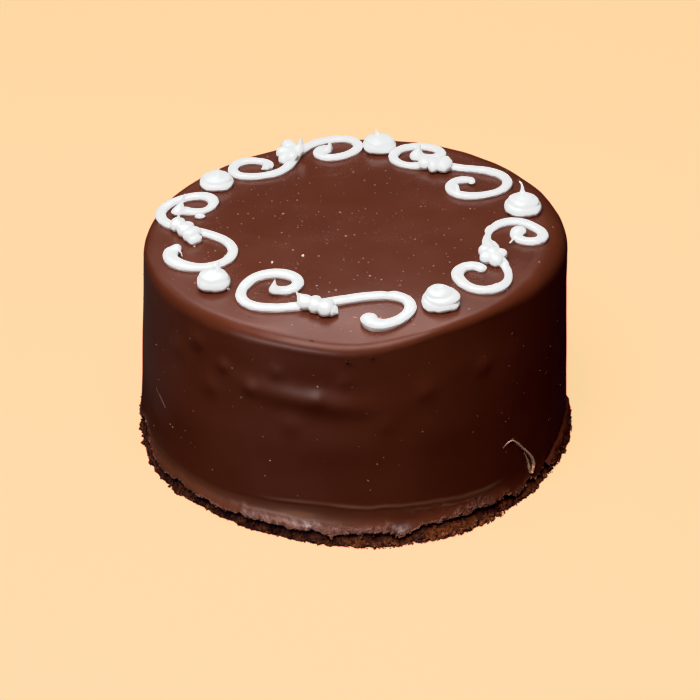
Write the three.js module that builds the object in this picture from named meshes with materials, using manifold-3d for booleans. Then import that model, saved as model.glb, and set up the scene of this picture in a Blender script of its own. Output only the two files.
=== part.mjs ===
// Doberge cake: a round, uncut layer cake covered in dark chocolate icing. It stands on the
// bare crumb of its lowest layer, which shows under the torn foot of the icing. A ring of
// white icing is piped on its top: five S-shaped scrolls, each tied in the middle by a small
// shell-piped bow, and five round dots between them.
// Millimetres, +Z up. The origin is the centre of the underside.

import * as THREE from 'three';
import { mergeVertices } from 'three/addons/utils/BufferGeometryUtils.js';
import Module from 'manifold-3d';

const wasm = await Module();
wasm.setup();

const DEG = Math.PI / 180;

// ---- the iced cake ---------------------------------------------------------------------
const RADIUS = 103.4; // mean radius at half height
const HEIGHT = 106.2; // top surface over the underside, at the axis
const TAPER = 5.8; // how much wider the foot is than the top edge
const OVAL = 1.3; // out of round, along the diagonal
const TILT_X = 0.042; // slope of the top: higher on the +X side
const TILT_Y = 0.002;
const SHOULDER = 7.2; // radius of the rounded top edge
const SHOULDER_X = 1.9; // softer edge on the +X side
const SHOULDER_Y = 1.4;
const SHOULDER_SKEW = 2.4; // and along the diagonal
const DROOP = 4.6; // the front of the top edge has slumped
const DROOP_AT = -89 * DEG;
const DROOP_WIDE = 17 * DEG;
const DROOP_IN = 55; // the slump starts this far from the axis
const DROOP_OUT = 104;
const FLARE = 5.2; // icing that ran out at the foot
const FLARE_HIGH = 19;
const LIP_WAVE = 0.7; // uneven foot line
const CRUMB_HIGH = 5.2; // bare crumb under the icing's torn foot
const CRUMB_IN = 0.6; // the crumb stands back from the flare's foot
const COLUMNS = 64;

// ---- the piping ------------------------------------------------------------------------
const GAP = 0.3; // clearance between the piping and what it lies on
const ROPE_FLAT = 0.62; // height of the rope's cross-section against its width
const ROPE_SIT = 0.45; // height of the rope's centre over the icing, in rope radii
const ROPE_SIDES = 8;
const ROPE_RINGS = 46;

// A scroll is drawn as it is piped: from its start point, with a first heading and a length,
// its bend (1/mm) given at even steps along the stroke.
// longer: more length at the end, with its bend. aside: shifts to the left, by mm along it.
// rope: radius at the start, in the middle and at the end of the stroke.
// bow: place along the stroke, offset across it, turn of its shells.
const SCROLLS = [
  {
    name: 'left', start: [-84.4, 22.0], heading: -0.854, length: 166.4, rope: [2.9, 2.55, 3.6],
    bend: [0.119, 0.113, 0.135, 0.04, 0.067, 0.07, -0.005, -0.02, -0.059, -0.075, -0.065, -0.073, -0.113],
    bow: { at: 0.494, across: 0, turn: 35, step: 5.4 },
  },
  {
    name: 'back_left', start: [-46.0, 64.1], heading: 0.017, length: 147.9, rope: [2.2, 2.5, 2.5],
    longer: [3.2, -0.1], aside: [[9, 0], [18, -2.7], [28, -2.3], [38, -0.3], [128, 0.3], [151, 1.8]],
    bend: [0.454, 0.098, 0.111, 0.155, 0.035, 0.071, 0.025, -0.032, -0.047, -0.029, -0.114, -0.118, -0.052, -0.133, -0.38],
    bow: { at: 0.481, across: 3.2, turn: 60, step: 5.0 },
  },
  {
    name: 'back_right', start: [32.3, 71.9], heading: -0.954, length: 168.2, rope: [2.9, 2.55, 2.4],
    longer: [2.6, -0.15], aside: [[11, -0.2], [32, -1.2], [53, -0.3], [74, -0.8], [95, 0], [126, 0.7], [158, 0.8], [168, 0]],
    bend: [0.147, 0.209, 0.061, 0.084, 0.116, 0.081, -0.056, 0.01, -0.02, -0.078, -0.095, -0.031, -0.109, -0.114, -0.184],
    bow: { at: 0.437, across: -1.3, turn: 30, step: 5.2 },
  },
  {
    name: 'right', start: [77.8, -7.5], heading: 3.996, length: 162.2, rope: [2.7, 2.4, 2.7], longer: [1.8, -0.15],
    bend: [0.1, 0.161, 0.167, 0.027, 0.108, 0.075, 0.024, 0.028, -0.011, -0.041, -0.09, -0.106, -0.048, -0.131, -0.23],
    bow: { at: 0.536, across: -0.5, turn: 25, step: 5.0 },
  },
  {
    name: 'front', start: [-34.7, -58.1], heading: -0.582, length: 169.1, rope: [2.8, 2.6, 4.0],
    longer: [4.8, -0.17], aside: [[0, -0.8], [11, 0], [32, 0.4], [53, -0.5], [74, -1.2], [95, -0.9], [116, -0.1], [148, -0.4], [169, -0.6]],
    bend: [0.209, 0.138, 0.08, 0.077, 0.04, 0.1, 0.04, 0.005, 0.003, -0.005, -0.018, -0.098, -0.096, -0.056, -0.203],
    bow: { at: 0.561, across: -0.8, turn: 30, step: 5.6 },
  },
];
const BOW_SHELLS = 3;
const BOW_LONG = 5.4; // half size of one shell, across the scroll
const BOW_WIDE = 3.7; // half size of one shell, along the scroll
const BOW_HIGH = 7.8; // top of the shells over the icing

// Dots: place, radius and height of the flattened swirl, and its drawn-up tip.
const DOTS = [
  { name: 'left_back', at: [-69.1, 48.7], radius: 8.1, high: 6.4, tip: 1.5 },
  { name: 'back', at: [11.9, 84.0], radius: 8.3, high: 6.9, tip: 2.4 },
  { name: 'right', at: [80.2, 13.1], radius: 8.7, high: 7.7, tip: 4.4 },
  { name: 'front_right', at: [38.0, -73.3], radius: 8.5, high: 7.4, tip: 1.2 },
  { name: 'left_front', at: [-64.6, -51.8], radius: 7.8, high: 7.2, tip: 3.6 },
];
const DOT_COLUMNS = 14;
// outline of a dot, as shares of its radius and height, from the underside to the tip
const DOT_OUTLINE = [[0, 0], [0.84, 0], [1, 0.26], [0.95, 0.55], [0.66, 0.86], [0.3, 0.98]];

// ---- finishes --------------------------------------------------------------------------
const ICING = new THREE.MeshStandardMaterial({ name: 'chocolate_icing', color: 0x4a2216, roughness: 0.38, metalness: 0 });
const CRUMB = new THREE.MeshStandardMaterial({ name: 'cake_crumb', color: 0x3a160c, roughness: 0.95, metalness: 0 });
const PIPING = new THREE.MeshStandardMaterial({ name: 'white_icing', color: 0xeff2f2, roughness: 0.5, metalness: 0 });

// ---- the cake's surface ----------------------------------------------------------------
const smooth = (v, low, high) => {
  const t = Math.min(1, Math.max(0, (v - low) / (high - low)));
  return t * t * (3 - 2 * t);
};
const shoulder = (a) =>
  SHOULDER + SHOULDER_X * Math.cos(a) + SHOULDER_Y * Math.sin(a) + SHOULDER_SKEW * Math.sin(2 * a);
const edgeRadius = (a) =>
  RADIUS + OVAL * Math.sin(2 * a) + TAPER * (0.5 - (HEIGHT - shoulder(a)) / HEIGHT);
const droop = (a, r) =>
  DROOP * Math.exp(-(((a - DROOP_AT) / DROOP_WIDE) ** 2)) * smooth(r, DROOP_IN, DROOP_OUT);

// height of the icing over the plan point (x, y), on the top and down its rounded edge
function topHeight(x, y) {
  const a = Math.atan2(y, x);
  const r = Math.hypot(x, y);
  const s = shoulder(a);
  const u = Math.min(1, Math.max(0, (r - edgeRadius(a) + s) / s));
  return HEIGHT + TILT_X * x + TILT_Y * y - droop(a, r) - s * (1 - Math.sqrt(1 - u * u));
}
const sideTop = (a) => {
  const r = edgeRadius(a);
  return topHeight(r * Math.cos(a), r * Math.sin(a));
};
function sideRadius(a, z) {
  const flare = FLARE * Math.max(0, 1 - z / FLARE_HIGH) ** 3 * (0.55 + 0.45 * Math.sin(a) ** 2);
  return edgeRadius(a) + (TAPER * (sideTop(a) - z)) / HEIGHT + flare;
}
const lip = (a) => LIP_WAVE * (0.6 * Math.sin(5 * a + 1) + 0.4 * Math.sin(11 * a + 2.4) + 0.3 * Math.sin(17 * a));

// ---- closed meshes ---------------------------------------------------------------------
// Welds a geometry into one closed surface, without the triangles that a pole collapses, and
// turns its faces outwards.
function closed(geometry) {
  geometry.deleteAttribute('normal');
  geometry.deleteAttribute('uv');
  const g = mergeVertices(geometry, 1e-3);
  const p = g.getAttribute('position');
  const [a, b, c] = [new THREE.Vector3(), new THREE.Vector3(), new THREE.Vector3()];
  const faces = [];
  let volume = 0;
  for (let i = 0; i < g.index.count; i += 3) {
    const [i0, i1, i2] = [g.index.getX(i), g.index.getX(i + 1), g.index.getX(i + 2)];
    if (i0 === i1 || i1 === i2 || i2 === i0) continue;
    faces.push([i0, i1, i2]);
    volume += a.fromBufferAttribute(p, i0).dot(b.fromBufferAttribute(p, i1).cross(c.fromBufferAttribute(p, i2)));
  }
  g.setIndex(faces.flatMap(([i0, i1, i2]) => (volume < 0 ? [i0, i2, i1] : [i0, i1, i2])));
  return g;
}
// Moves every vertex of a geometry by place(vertex, index).
function shaped(geometry, place) {
  const p = geometry.getAttribute('position');
  const v = new THREE.Vector3();
  for (let i = 0; i < p.count; i++) {
    place(v.fromBufferAttribute(p, i), i);
    p.setXYZ(i, v.x, v.y, v.z);
  }
  return closed(geometry);
}
const solid = (g) =>
  new wasm.Manifold(
    new wasm.Mesh({
      numProp: 3,
      vertProperties: new Float32Array(g.getAttribute('position').array),
      triVerts: new Uint32Array(g.index.array),
    }),
  );
function geometryOf(manifold) {
  const m = manifold.getMesh();
  const g = new THREE.BufferGeometry();
  g.setAttribute('position', new THREE.BufferAttribute(new Float32Array(m.vertProperties), 3));
  g.setIndex(new THREE.BufferAttribute(new Uint32Array(m.triVerts), 1));
  return g;
}

// ---- cake ------------------------------------------------------------------------------
// Rows of the turned outline, from the middle of the underside up to the middle of the top;
// each gives a radius and a height for an angle.
const SIDE_SHARES = [0.055, 0.12, 0.2, 0.34, 0.5, 0.66, 0.82, 0.93, 1];
const SHOULDER_STEPS = [18, 36, 54, 72, 90];
const TOP_SHARES = [0.88, 0.72, 0.4];
const CAKE_ROWS = [
  () => [0, CRUMB_HIGH],
  (a) => [sideRadius(a, CRUMB_HIGH) + lip(a) - 1.2, CRUMB_HIGH],
  (a) => [sideRadius(a, CRUMB_HIGH) + lip(a), CRUMB_HIGH + 1.0],
  ...SIDE_SHARES.map((share) => (a) => {
    const z = CRUMB_HIGH + share * (sideTop(a) - CRUMB_HIGH);
    return [sideRadius(a, z), z];
  }),
  ...SHOULDER_STEPS.map((t) => (a) => {
    const r = edgeRadius(a) - shoulder(a) * (1 - Math.cos(t * DEG));
    return [r, topHeight(r * Math.cos(a), r * Math.sin(a))];
  }),
  ...TOP_SHARES.map((share) => (a) => {
    const r = share * (edgeRadius(a) - shoulder(a));
    return [r, topHeight(r * Math.cos(a), r * Math.sin(a))];
  }),
  () => [0, HEIGHT],
];
const CRUMB_ROWS = [
  () => [0, 0],
  (a) => [sideRadius(a, 0) + lip(a + 0.4) - CRUMB_IN - 0.6, 0],
  (a) => [sideRadius(a, 0) + lip(a + 0.4) - CRUMB_IN, 0.5 * CRUMB_HIGH],
  (a) => [sideRadius(a, 0) + lip(a + 0.4) - CRUMB_IN - 0.5, CRUMB_HIGH],
  () => [0, CRUMB_HIGH],
];
function turned(rows, columns) {
  const last = rows.length - 1;
  const outline = rows.map((row, j) => new THREE.Vector2(j === 0 || j === last ? 0 : 1, j));
  return shaped(new THREE.LatheGeometry(outline, columns), (v, i) => {
    const a = ((2 * Math.PI) / columns) * (Math.floor(i / rows.length) % columns) - Math.PI;
    const [r, z] = rows[i % rows.length](a);
    v.set(r * Math.cos(a), r * Math.sin(a), z);
  });
}

// ---- scrolls ---------------------------------------------------------------------------
// The shift at u mm, eased from each of the given places to the next.
function shift(aside, u) {
  const k = aside.findIndex(([at]) => at > u);
  if (k === 0) return aside[0][1];
  if (k < 0) return aside[aside.length - 1][1];
  const [[u0, s0], [u1, s1]] = [aside[k - 1], aside[k]];
  return s0 + (s1 - s0) * smooth(u, u0, u1);
}
// Follows the bend along the stroke. Returns the point and the heading at u mm.
const PATH_STEPS = 400;
const total = ({ length, longer = [0, 0] }) => length + longer[0];
function stroke(scroll) {
  const { start, heading, length, bend, longer = [0, 0], aside = [[0, 0]] } = scroll;
  const step = total(scroll) / PATH_STEPS;
  const bendAt = (t) => {
    const k = t * (bend.length - 1);
    const i = Math.min(bend.length - 2, Math.floor(k));
    return bend[i] + (bend[i + 1] - bend[i]) * (k - i);
  };
  const line = [{ x: start[0], y: start[1], h: heading }];
  for (let i = 0; i < PATH_STEPS; i++) {
    const { x, y, h } = line[i];
    const u = (i + 0.5) * step;
    const turn = (u > length ? longer[1] : bendAt(u / length)) * step;
    line.push({ x: x + Math.cos(h + turn / 2) * step, y: y + Math.sin(h + turn / 2) * step, h: h + turn });
  }
  return (u) => {
    const k = Math.min(PATH_STEPS, Math.max(0, u / step));
    const i = Math.min(PATH_STEPS - 1, Math.floor(k));
    const f = k - i;
    const mix = (key) => line[i][key] * (1 - f) + line[i + 1][key] * f;
    const h = mix('h');
    const off = shift(aside, u);
    return { x: mix('x') - Math.sin(h) * off, y: mix('y') + Math.cos(h) * off, h };
  };
}
// Radius of the rope at u mm: fuller where the stroke starts and stops.
function ropeRadius(scroll, u) {
  const [first, mid, end] = scroll.rope;
  const length = total(scroll);
  return mid + (first - mid) * Math.exp(-((u / 11) ** 2)) + (end - mid) * Math.exp(-(((length - u) / 12) ** 2));
}
// A flattened rope lying on the icing, flat underneath and domed at both ends. extra makes it
// thicker all round.
function ropeGeometry(scroll, extra = 0) {
  const along = stroke(scroll);
  const length = total(scroll);
  const places = [];
  const ends = [0, 0.1, 0.4, 1];
  const [r0, r1] = [ropeRadius(scroll, 0) + extra, ropeRadius(scroll, length) + extra];
  const inner = ROPE_RINGS + 1 - 2 * ends.length;
  for (const e of ends) places.push(e * r0 - extra);
  for (let i = 1; i <= inner; i++) places.push(r0 - extra + ((length - r0 - r1 + 2 * extra) * i) / (inner + 1));
  for (const e of [...ends].reverse()) places.push(length - e * r1 + extra);
  return shaped(new THREE.SphereGeometry(1, ROPE_SIDES, ROPE_RINGS), (v, i) => {
    const ring = Math.floor(i / (ROPE_SIDES + 1));
    const b = ((2 * Math.PI) / ROPE_SIDES) * (i % (ROPE_SIDES + 1)) + Math.PI / ROPE_SIDES;
    const u = places[ring];
    const { x, y, h } = along(u);
    const over = u < 0 ? u : u > length ? u - length : 0;
    const full = ropeRadius(scroll, u);
    const fromEnd = Math.min((u + extra) / r0, (length + extra - u) / r1, 1);
    const dome = Math.sqrt(Math.max(0, 1 - (1 - fromEnd) ** 2));
    const side = (full + extra) * dome * Math.cos(b);
    const rise = (full * ROPE_FLAT + extra) * dome * Math.sin(b);
    v.x = x + Math.cos(h) * over - Math.sin(h) * side;
    v.y = y + Math.sin(h) * over + Math.cos(h) * side;
    const low = extra > 0 ? -2 : 0;
    v.z = topHeight(v.x, v.y) + GAP + Math.max(low, full * ROPE_SIT + rise);
  });
}
// A bow of shells piped side by side over the middle of a scroll, cut clear of its rope.
function bowGeometry(scroll) {
  const { at, across, turn, step } = scroll.bow;
  const { x, y, h } = stroke(scroll)(at * scroll.length);
  const [cx, cy] = [x - Math.sin(h) * across, y + Math.cos(h) * across];
  const lean = h + turn * DEG;
  let bow = null;
  for (let k = 0; k < BOW_SHELLS; k++) {
    const off = (k - (BOW_SHELLS - 1) / 2) * step;
    const [sx, sy] = [cx + Math.cos(h) * off, cy + Math.sin(h) * off];
    const size = 1 - 0.08 * Math.abs(k - 1);
    const shell = shaped(new THREE.SphereGeometry(1, 8, 6), (v) => {
      const [p, q, w] = [v.x * BOW_WIDE * size, v.z * BOW_LONG * size, v.y];
      v.x = sx + Math.cos(lean) * p - Math.sin(lean) * q;
      v.y = sy + Math.sin(lean) * p + Math.cos(lean) * q;
      const high = (BOW_HIGH * size) / 1.7;
      v.z = topHeight(v.x, v.y) + GAP + Math.max(0, high * (0.7 + w));
    });
    bow = bow ? bow.add(solid(shell)) : solid(shell);
  }
  return geometryOf(bow.subtract(solid(ropeGeometry(scroll, GAP))));
}

// ---- dots ------------------------------------------------------------------------------
function dotGeometry({ at, radius, high, tip }, n) {
  const outline = [
    ...DOT_OUTLINE.map(([r, z]) => new THREE.Vector2(r * radius, z * high)),
    new THREE.Vector2(0.12 * radius, high + 0.4 * tip),
    new THREE.Vector2(0, high + tip),
  ];
  return shaped(new THREE.LatheGeometry(outline, DOT_COLUMNS), (v) => {
    const a = Math.atan2(v.z, v.x);
    const swell = 1 + (v.y > 0.1 * high ? 0.035 * Math.cos(2 * a - (3 * v.y) / high + n) : 0);
    const [x, y, z] = [at[0] + v.x * swell, at[1] + v.z * swell, v.y];
    v.set(x, y, topHeight(x, y) + GAP + z);
  });
}

// ---- the part --------------------------------------------------------------------------
const cake = new THREE.Group();
cake.name = 'doberge_cake';
function add(name, geometry, material) {
  geometry.computeVertexNormals();
  const mesh = new THREE.Mesh(geometry, material);
  mesh.name = name;
  cake.add(mesh);
}
add('iced_cake', turned(CAKE_ROWS, COLUMNS), ICING);
add('crumb_foot', turned(CRUMB_ROWS, COLUMNS), CRUMB);
for (const scroll of SCROLLS) {
  add(`scroll_${scroll.name}`, ropeGeometry(scroll), PIPING);
  add(`bow_${scroll.name}`, bowGeometry(scroll), PIPING);
}
DOTS.forEach((dot, n) => add(`dot_${dot.name}`, dotGeometry(dot, n), PIPING));

export default cake;
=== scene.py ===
import math

import bpy
import numpy as np
from mathutils import Matrix, Vector


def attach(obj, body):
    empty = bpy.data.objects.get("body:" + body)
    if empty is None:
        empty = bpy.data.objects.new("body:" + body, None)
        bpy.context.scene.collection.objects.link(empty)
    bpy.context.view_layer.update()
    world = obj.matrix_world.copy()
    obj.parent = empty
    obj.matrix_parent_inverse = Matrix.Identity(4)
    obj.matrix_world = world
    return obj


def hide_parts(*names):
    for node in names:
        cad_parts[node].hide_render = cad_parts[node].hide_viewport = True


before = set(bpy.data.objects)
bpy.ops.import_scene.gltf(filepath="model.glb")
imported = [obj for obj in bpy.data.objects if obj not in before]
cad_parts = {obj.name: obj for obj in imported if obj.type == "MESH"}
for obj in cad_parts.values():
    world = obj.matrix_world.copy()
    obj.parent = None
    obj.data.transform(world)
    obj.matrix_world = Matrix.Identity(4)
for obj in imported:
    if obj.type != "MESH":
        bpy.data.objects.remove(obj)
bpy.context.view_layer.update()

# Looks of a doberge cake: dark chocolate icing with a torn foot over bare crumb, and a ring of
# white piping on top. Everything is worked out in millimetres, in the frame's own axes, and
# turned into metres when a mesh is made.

MM = 0.001
DEG = math.pi / 180
RNG = np.random.default_rng(20)

# ---- sizes shared with the construction -------------------------------------------------
RADIUS, HEIGHT, TAPER, OVAL = 103.4, 106.2, 5.8, 1.3
TILT_X, TILT_Y = 0.042, 0.002
FLARE_HIGH = 19.0
ROUND = 2.5  # how full the shoulder is; 2 would be a circle

# Strokes of the piping: where each starts, the way it heads, how it bends, and its half-width.
SCROLLS = {
    "left": dict(
        start=(-84.4, 22.0), heading=-0.854, length=166.4, rope=(2.9, 2.6, 3.6), uneven=((12, 7, -0.6), (26, 7, 0.25), (150, 9, 0.8), (118, 1.8, -0.2)),
        aside=((0, -0.4), (10, 0.2), (21, 0.1), (31, 0.2), (42, 0.1), (52, -0.0), (62, -0.0), (73, -0.2), (83, -0.3), (94, -0.1), (104, 0.1), (114, 0.2), (125, 0.4), (135, 0.3), (146, 0.2), (156, 0.9), (166, 0.1)),
        bend=(0.119, 0.113, 0.135, 0.04, 0.067, 0.07, -0.005, -0.02, -0.059, -0.075, -0.065, -0.073, -0.113)),
    "back_left": dict(
        start=(-46.0, 64.1), heading=0.017, length=147.9, rope=(2.2, 2.55, 2.5), uneven=((3, 4, 0.5), (39, 8, -0.2)), longer=(3.2, -0.1),
        aside=((0, 0.5), (9, 0.1), (18, -2.9), (28, -2.5), (37, -0.3), (46, -0.4), (55, -0.3), (65, 0.1), (74, 0.1), (83, 0.2), (92, 0.3), (102, 0.3), (111, 0.1), (120, 0.2), (129, 0.3), (139, 1.0), (148, 1.9)),
        bend=(0.454, 0.098, 0.111, 0.155, 0.035, 0.071, 0.025, -0.032, -0.047, -0.029, -0.114, -0.118, -0.052, -0.133, -0.38)),
    "back_right": dict(
        start=(32.3, 71.9), heading=-0.954, length=168.2, rope=(2.9, 2.6, 2.4), uneven=((57, 6, -0.3), (128, 9, -0.3), (112, 1.6, -0.2)), longer=(2.6, -0.15),
        aside=((0, 0.0), (11, -0.2), (21, -0.7), (32, -1.3), (42, -0.9), (53, -0.2), (63, -0.5), (74, -0.8), (84, -0.6), (95, 0.0), (105, 0.2), (116, 0.6), (126, 0.8), (137, 0.3), (147, 0.8), (158, 0.9), (168, -0.1)),
        bend=(0.147, 0.209, 0.061, 0.084, 0.116, 0.081, -0.056, 0.01, -0.02, -0.078, -0.095, -0.031, -0.109, -0.114, -0.184)),
    "right": dict(
        start=(77.8, -7.5), heading=3.996, length=162.2, rope=(2.7, 2.6, 2.7), uneven=((64, 7, -1.1), (106, 9, -0.7), (147, 10, 0.45), (98, 1.6, -0.25), (119, 1.7, 0.2)), longer=(1.8, -0.15),
        aside=((0, -0.7), (10, -0.2), (20, -0.5), (30, 0.2), (41, 0.2), (51, 0.6), (61, 0.3), (71, -0.5), (81, -0.5), (91, 0.1), (101, 0.1), (112, -0.0), (122, 0.2), (132, 0.2), (142, 0.4), (152, -0.1), (162, -0.2)),
        bend=(0.1, 0.161, 0.167, 0.027, 0.108, 0.075, 0.024, 0.028, -0.011, -0.041, -0.09, -0.106, -0.048, -0.131, -0.23)),
    "front": dict(
        start=(-34.7, -58.1), heading=-0.582, length=169.1, rope=(2.8, 2.65, 4.1), uneven=((26, 8, 0.45), (51, 6, -0.25), (126, 1.5, -0.3), (129, 1.5, 0.15)), longer=(4.8, -0.17),
        aside=((0, -1.0), (11, -0.1), (21, 0.4), (32, 0.4), (42, 0.1), (53, -0.5), (63, -1.0), (74, -1.2), (85, -1.1), (95, -0.9), (106, -0.4), (116, -0.1), (127, -0.1), (137, 0.2), (148, -0.4), (159, -0.8), (169, -0.5)),
        bend=(0.209, 0.138, 0.08, 0.077, 0.04, 0.1, 0.04, 0.005, 0.003, -0.005, -0.018, -0.098, -0.096, -0.056, -0.203)),
}
ROPE_FLAT = 0.53  # height of the rope against its width
DOTS = {
    "left_back": dict(at=(-69.1, 48.7), radius=8.3, high=6.4),
    "back": dict(at=(11.9, 84.0), radius=8.4, high=6.9),
    "right": dict(at=(80.2, 13.1), radius=8.8, high=8.0),
    "front_right": dict(at=(38.0, -73.3), radius=8.6, high=7.5),
    "left_front": dict(at=(-64.6, -51.8), radius=7.6, high=7.6),
}


def smooth(v, low, high):
    t = np.clip((v - low) / (high - low), 0, 1)
    return t * t * (3 - 2 * t)


def turn(a, at):
    """Signed angle from at to a, in degrees."""
    return (np.degrees(a) - at + 180) % 360 - 180


def shoulder(a):
    wave = 2.64 * np.cos(a) + 1.88 * np.sin(a) + 1 * np.cos(2 * a) + 1.79 * np.sin(2 * a)
    wave = wave + 0.87 * np.cos(3 * a) + 0.27 * np.sin(3 * a) - 0.03 * np.cos(4 * a) - 0.14 * np.sin(4 * a)
    return 1.2 * (6.71 + wave)


def edge_radius(a):
    return RADIUS + OVAL * np.sin(2 * a) + TAPER * (0.5 - (HEIGHT - shoulder(a)) / HEIGHT)


def droop(a, r):
    """The front edge has slumped, and the whole top falls a little towards its edge."""
    front = 4.9 * np.exp(-((turn(a, -89) / 17) ** 2)) * np.clip((r - 48) / 52, 0, 1.2) ** 2.3
    return front + (0.5 - 0.45 * np.sin(a)) * np.clip((r - edge_radius(a) + 26) / 26, 0, 1.2) ** 2.2


def top_height(x, y):
    a, r = np.arctan2(y, x), np.hypot(x, y)
    s = shoulder(a)
    u = np.clip((r - edge_radius(a) + s) / s, 0, 1)
    return HEIGHT + TILT_X * x + TILT_Y * y - droop(a, r) - s * (1 - (1 - u**ROUND) ** (1 / ROUND))


def side_top(a):
    r = edge_radius(a)
    return top_height(r * np.cos(a), r * np.sin(a))


def along(table, a):
    """A value from a table that goes once round, by angle."""
    first = table[0][0]
    places = [v for v, _ in table] + [first + 360]
    values = [v for _, v in table] + [table[0][1]]
    return np.interp((np.degrees(a) - first) % 360 + first, places, values)


# Where the foot of the icing turns out into a skirt: angle in degrees, share.
FLARED = ((-180, 0.25), (-160, 0.3), (-148, 0.4), (-138, 0.55), (-124, 0.95), (-116, 1.0), (-62, 1.0), (-52, 0.8), (-44, 0.4), (-36, 0.1),
          (-30, 0), (8, 0), (20, 0.4), (60, 0.6), (110, 0.5), (150, 0.6), (172, 0.3))


def flared(a):
    return along(FLARED, a)


def side_radius(a, z):
    flare = (1.0 + 6.8 * flared(a)) * np.maximum(0, 1 - z / FLARE_HIGH) ** 3
    return edge_radius(a) + TAPER * (side_top(a) - z) / HEIGHT + flare


# ---- noise ------------------------------------------------------------------------------
def _cell(i, j, k, seed):
    n = (i * 73856093) ^ (j * 19349663) ^ (k * 83492791) ^ (seed * 2654435761)
    n = n & 0xFFFFFFFF
    n = ((n ^ (n >> 13)) * 1274126177) & 0xFFFFFFFF
    n = ((n ^ (n >> 15)) * 2246822519) & 0xFFFFFFFF
    return (n ^ (n >> 16)) / 2147483648.0 - 1.0


def noise(x, y, z, size, seed):
    """Smooth noise from -1 to 1 with features of about that size in mm."""
    x, y, z = np.broadcast_arrays(x / size, y / size, z / size)
    i, j, k = (np.floor(v).astype(np.int64) for v in (x, y, z))
    fx, fy, fz = x - i, y - j, z - k
    fx, fy, fz = (f * f * f * (f * (f * 6 - 15) + 10) for f in (fx, fy, fz))
    out = 0
    for di in (0, 1):
        for dj in (0, 1):
            for dk in (0, 1):
                w = (fx if di else 1 - fx) * (fy if dj else 1 - fy) * (fz if dk else 1 - fz)
                out = out + w * _cell(i + di, j + dj, k + dk, seed)
    return out


def rough(x, y, z, size, seed, octaves=3, gain=0.5):
    total, amp, out = 0.0, 1.0, 0
    for o in range(octaves):
        out = out + amp * noise(x, y, z, size / 2.03**o, seed + 17 * o)
        total += amp
        amp *= gain
    return out / total


# ---- meshes -----------------------------------------------------------------------------
def make(name, points, faces, material, replaces=(), values=None):
    """A smooth-shaded piece from points in mm, riding on the cake."""
    mesh = bpy.data.meshes.new(name)
    mesh.from_pydata((np.asarray(points, float) * MM).tolist(), [], [list(f) for f in faces])
    mesh.validate()
    mesh.polygons.foreach_set("use_smooth", np.ones(len(mesh.polygons), bool))
    for key, value in (values or {}).items():
        layer = mesh.attributes.new(key, "FLOAT", "POINT")
        layer.data.foreach_set("value", np.asarray(value, np.float32))
    mesh.materials.append(material)
    mesh.update()
    obj = bpy.data.objects.new(name, mesh)
    bpy.context.scene.collection.objects.link(obj)
    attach(obj, "root")
    if replaces:
        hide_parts(*replaces)
    return obj


def rings_mesh(rings, low, high):
    """Closes a stack of rings of points, each (n, 3), between a lowest and a highest point.
    Neighbouring rings have the same number of points, or one has a whole multiple."""
    points, starts, faces = [np.array([low])], [], []
    count = 1
    for ring in rings:
        starts.append(count)
        count += len(ring)
        points.append(ring)
    points.append(np.array([high]))
    n = len(rings[0])
    faces += [(0, starts[0] + (j + 1) % n, starts[0] + j) for j in range(n)]
    for (s0, r0), (s1, r1) in zip(zip(starts, rings), zip(starts[1:], rings[1:])):
        n, m = len(r0), len(r1)
        if n == m:
            faces += [(s0 + j, s0 + (j + 1) % n, s1 + (j + 1) % n, s1 + j) for j in range(n)]
        elif n > m:
            k = n // m
            half = k // 2
            for j in range(m):
                b0, b1 = s1 + j, s1 + (j + 1) % m
                fine = [s0 + (k * j + i) % n for i in range(k + 1)]
                faces += [(fine[i], fine[i + 1], b0 if i < half else b1) for i in range(k)]
                faces.append((fine[half], b1, b0))
        else:
            k = m // n
            half = k // 2
            for j in range(n):
                a0, a1 = s0 + j, s0 + (j + 1) % n
                fine = [s1 + (k * j + i) % m for i in range(k + 1)]
                faces += [(a0 if i < half else a1, fine[i + 1], fine[i]) for i in range(k)]
                faces.append((a0, a1, fine[half]))
    n = len(rings[-1])
    faces += [(starts[-1] + j, starts[-1] + (j + 1) % n, count) for j in range(n)]
    return np.concatenate(points), faces


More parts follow.
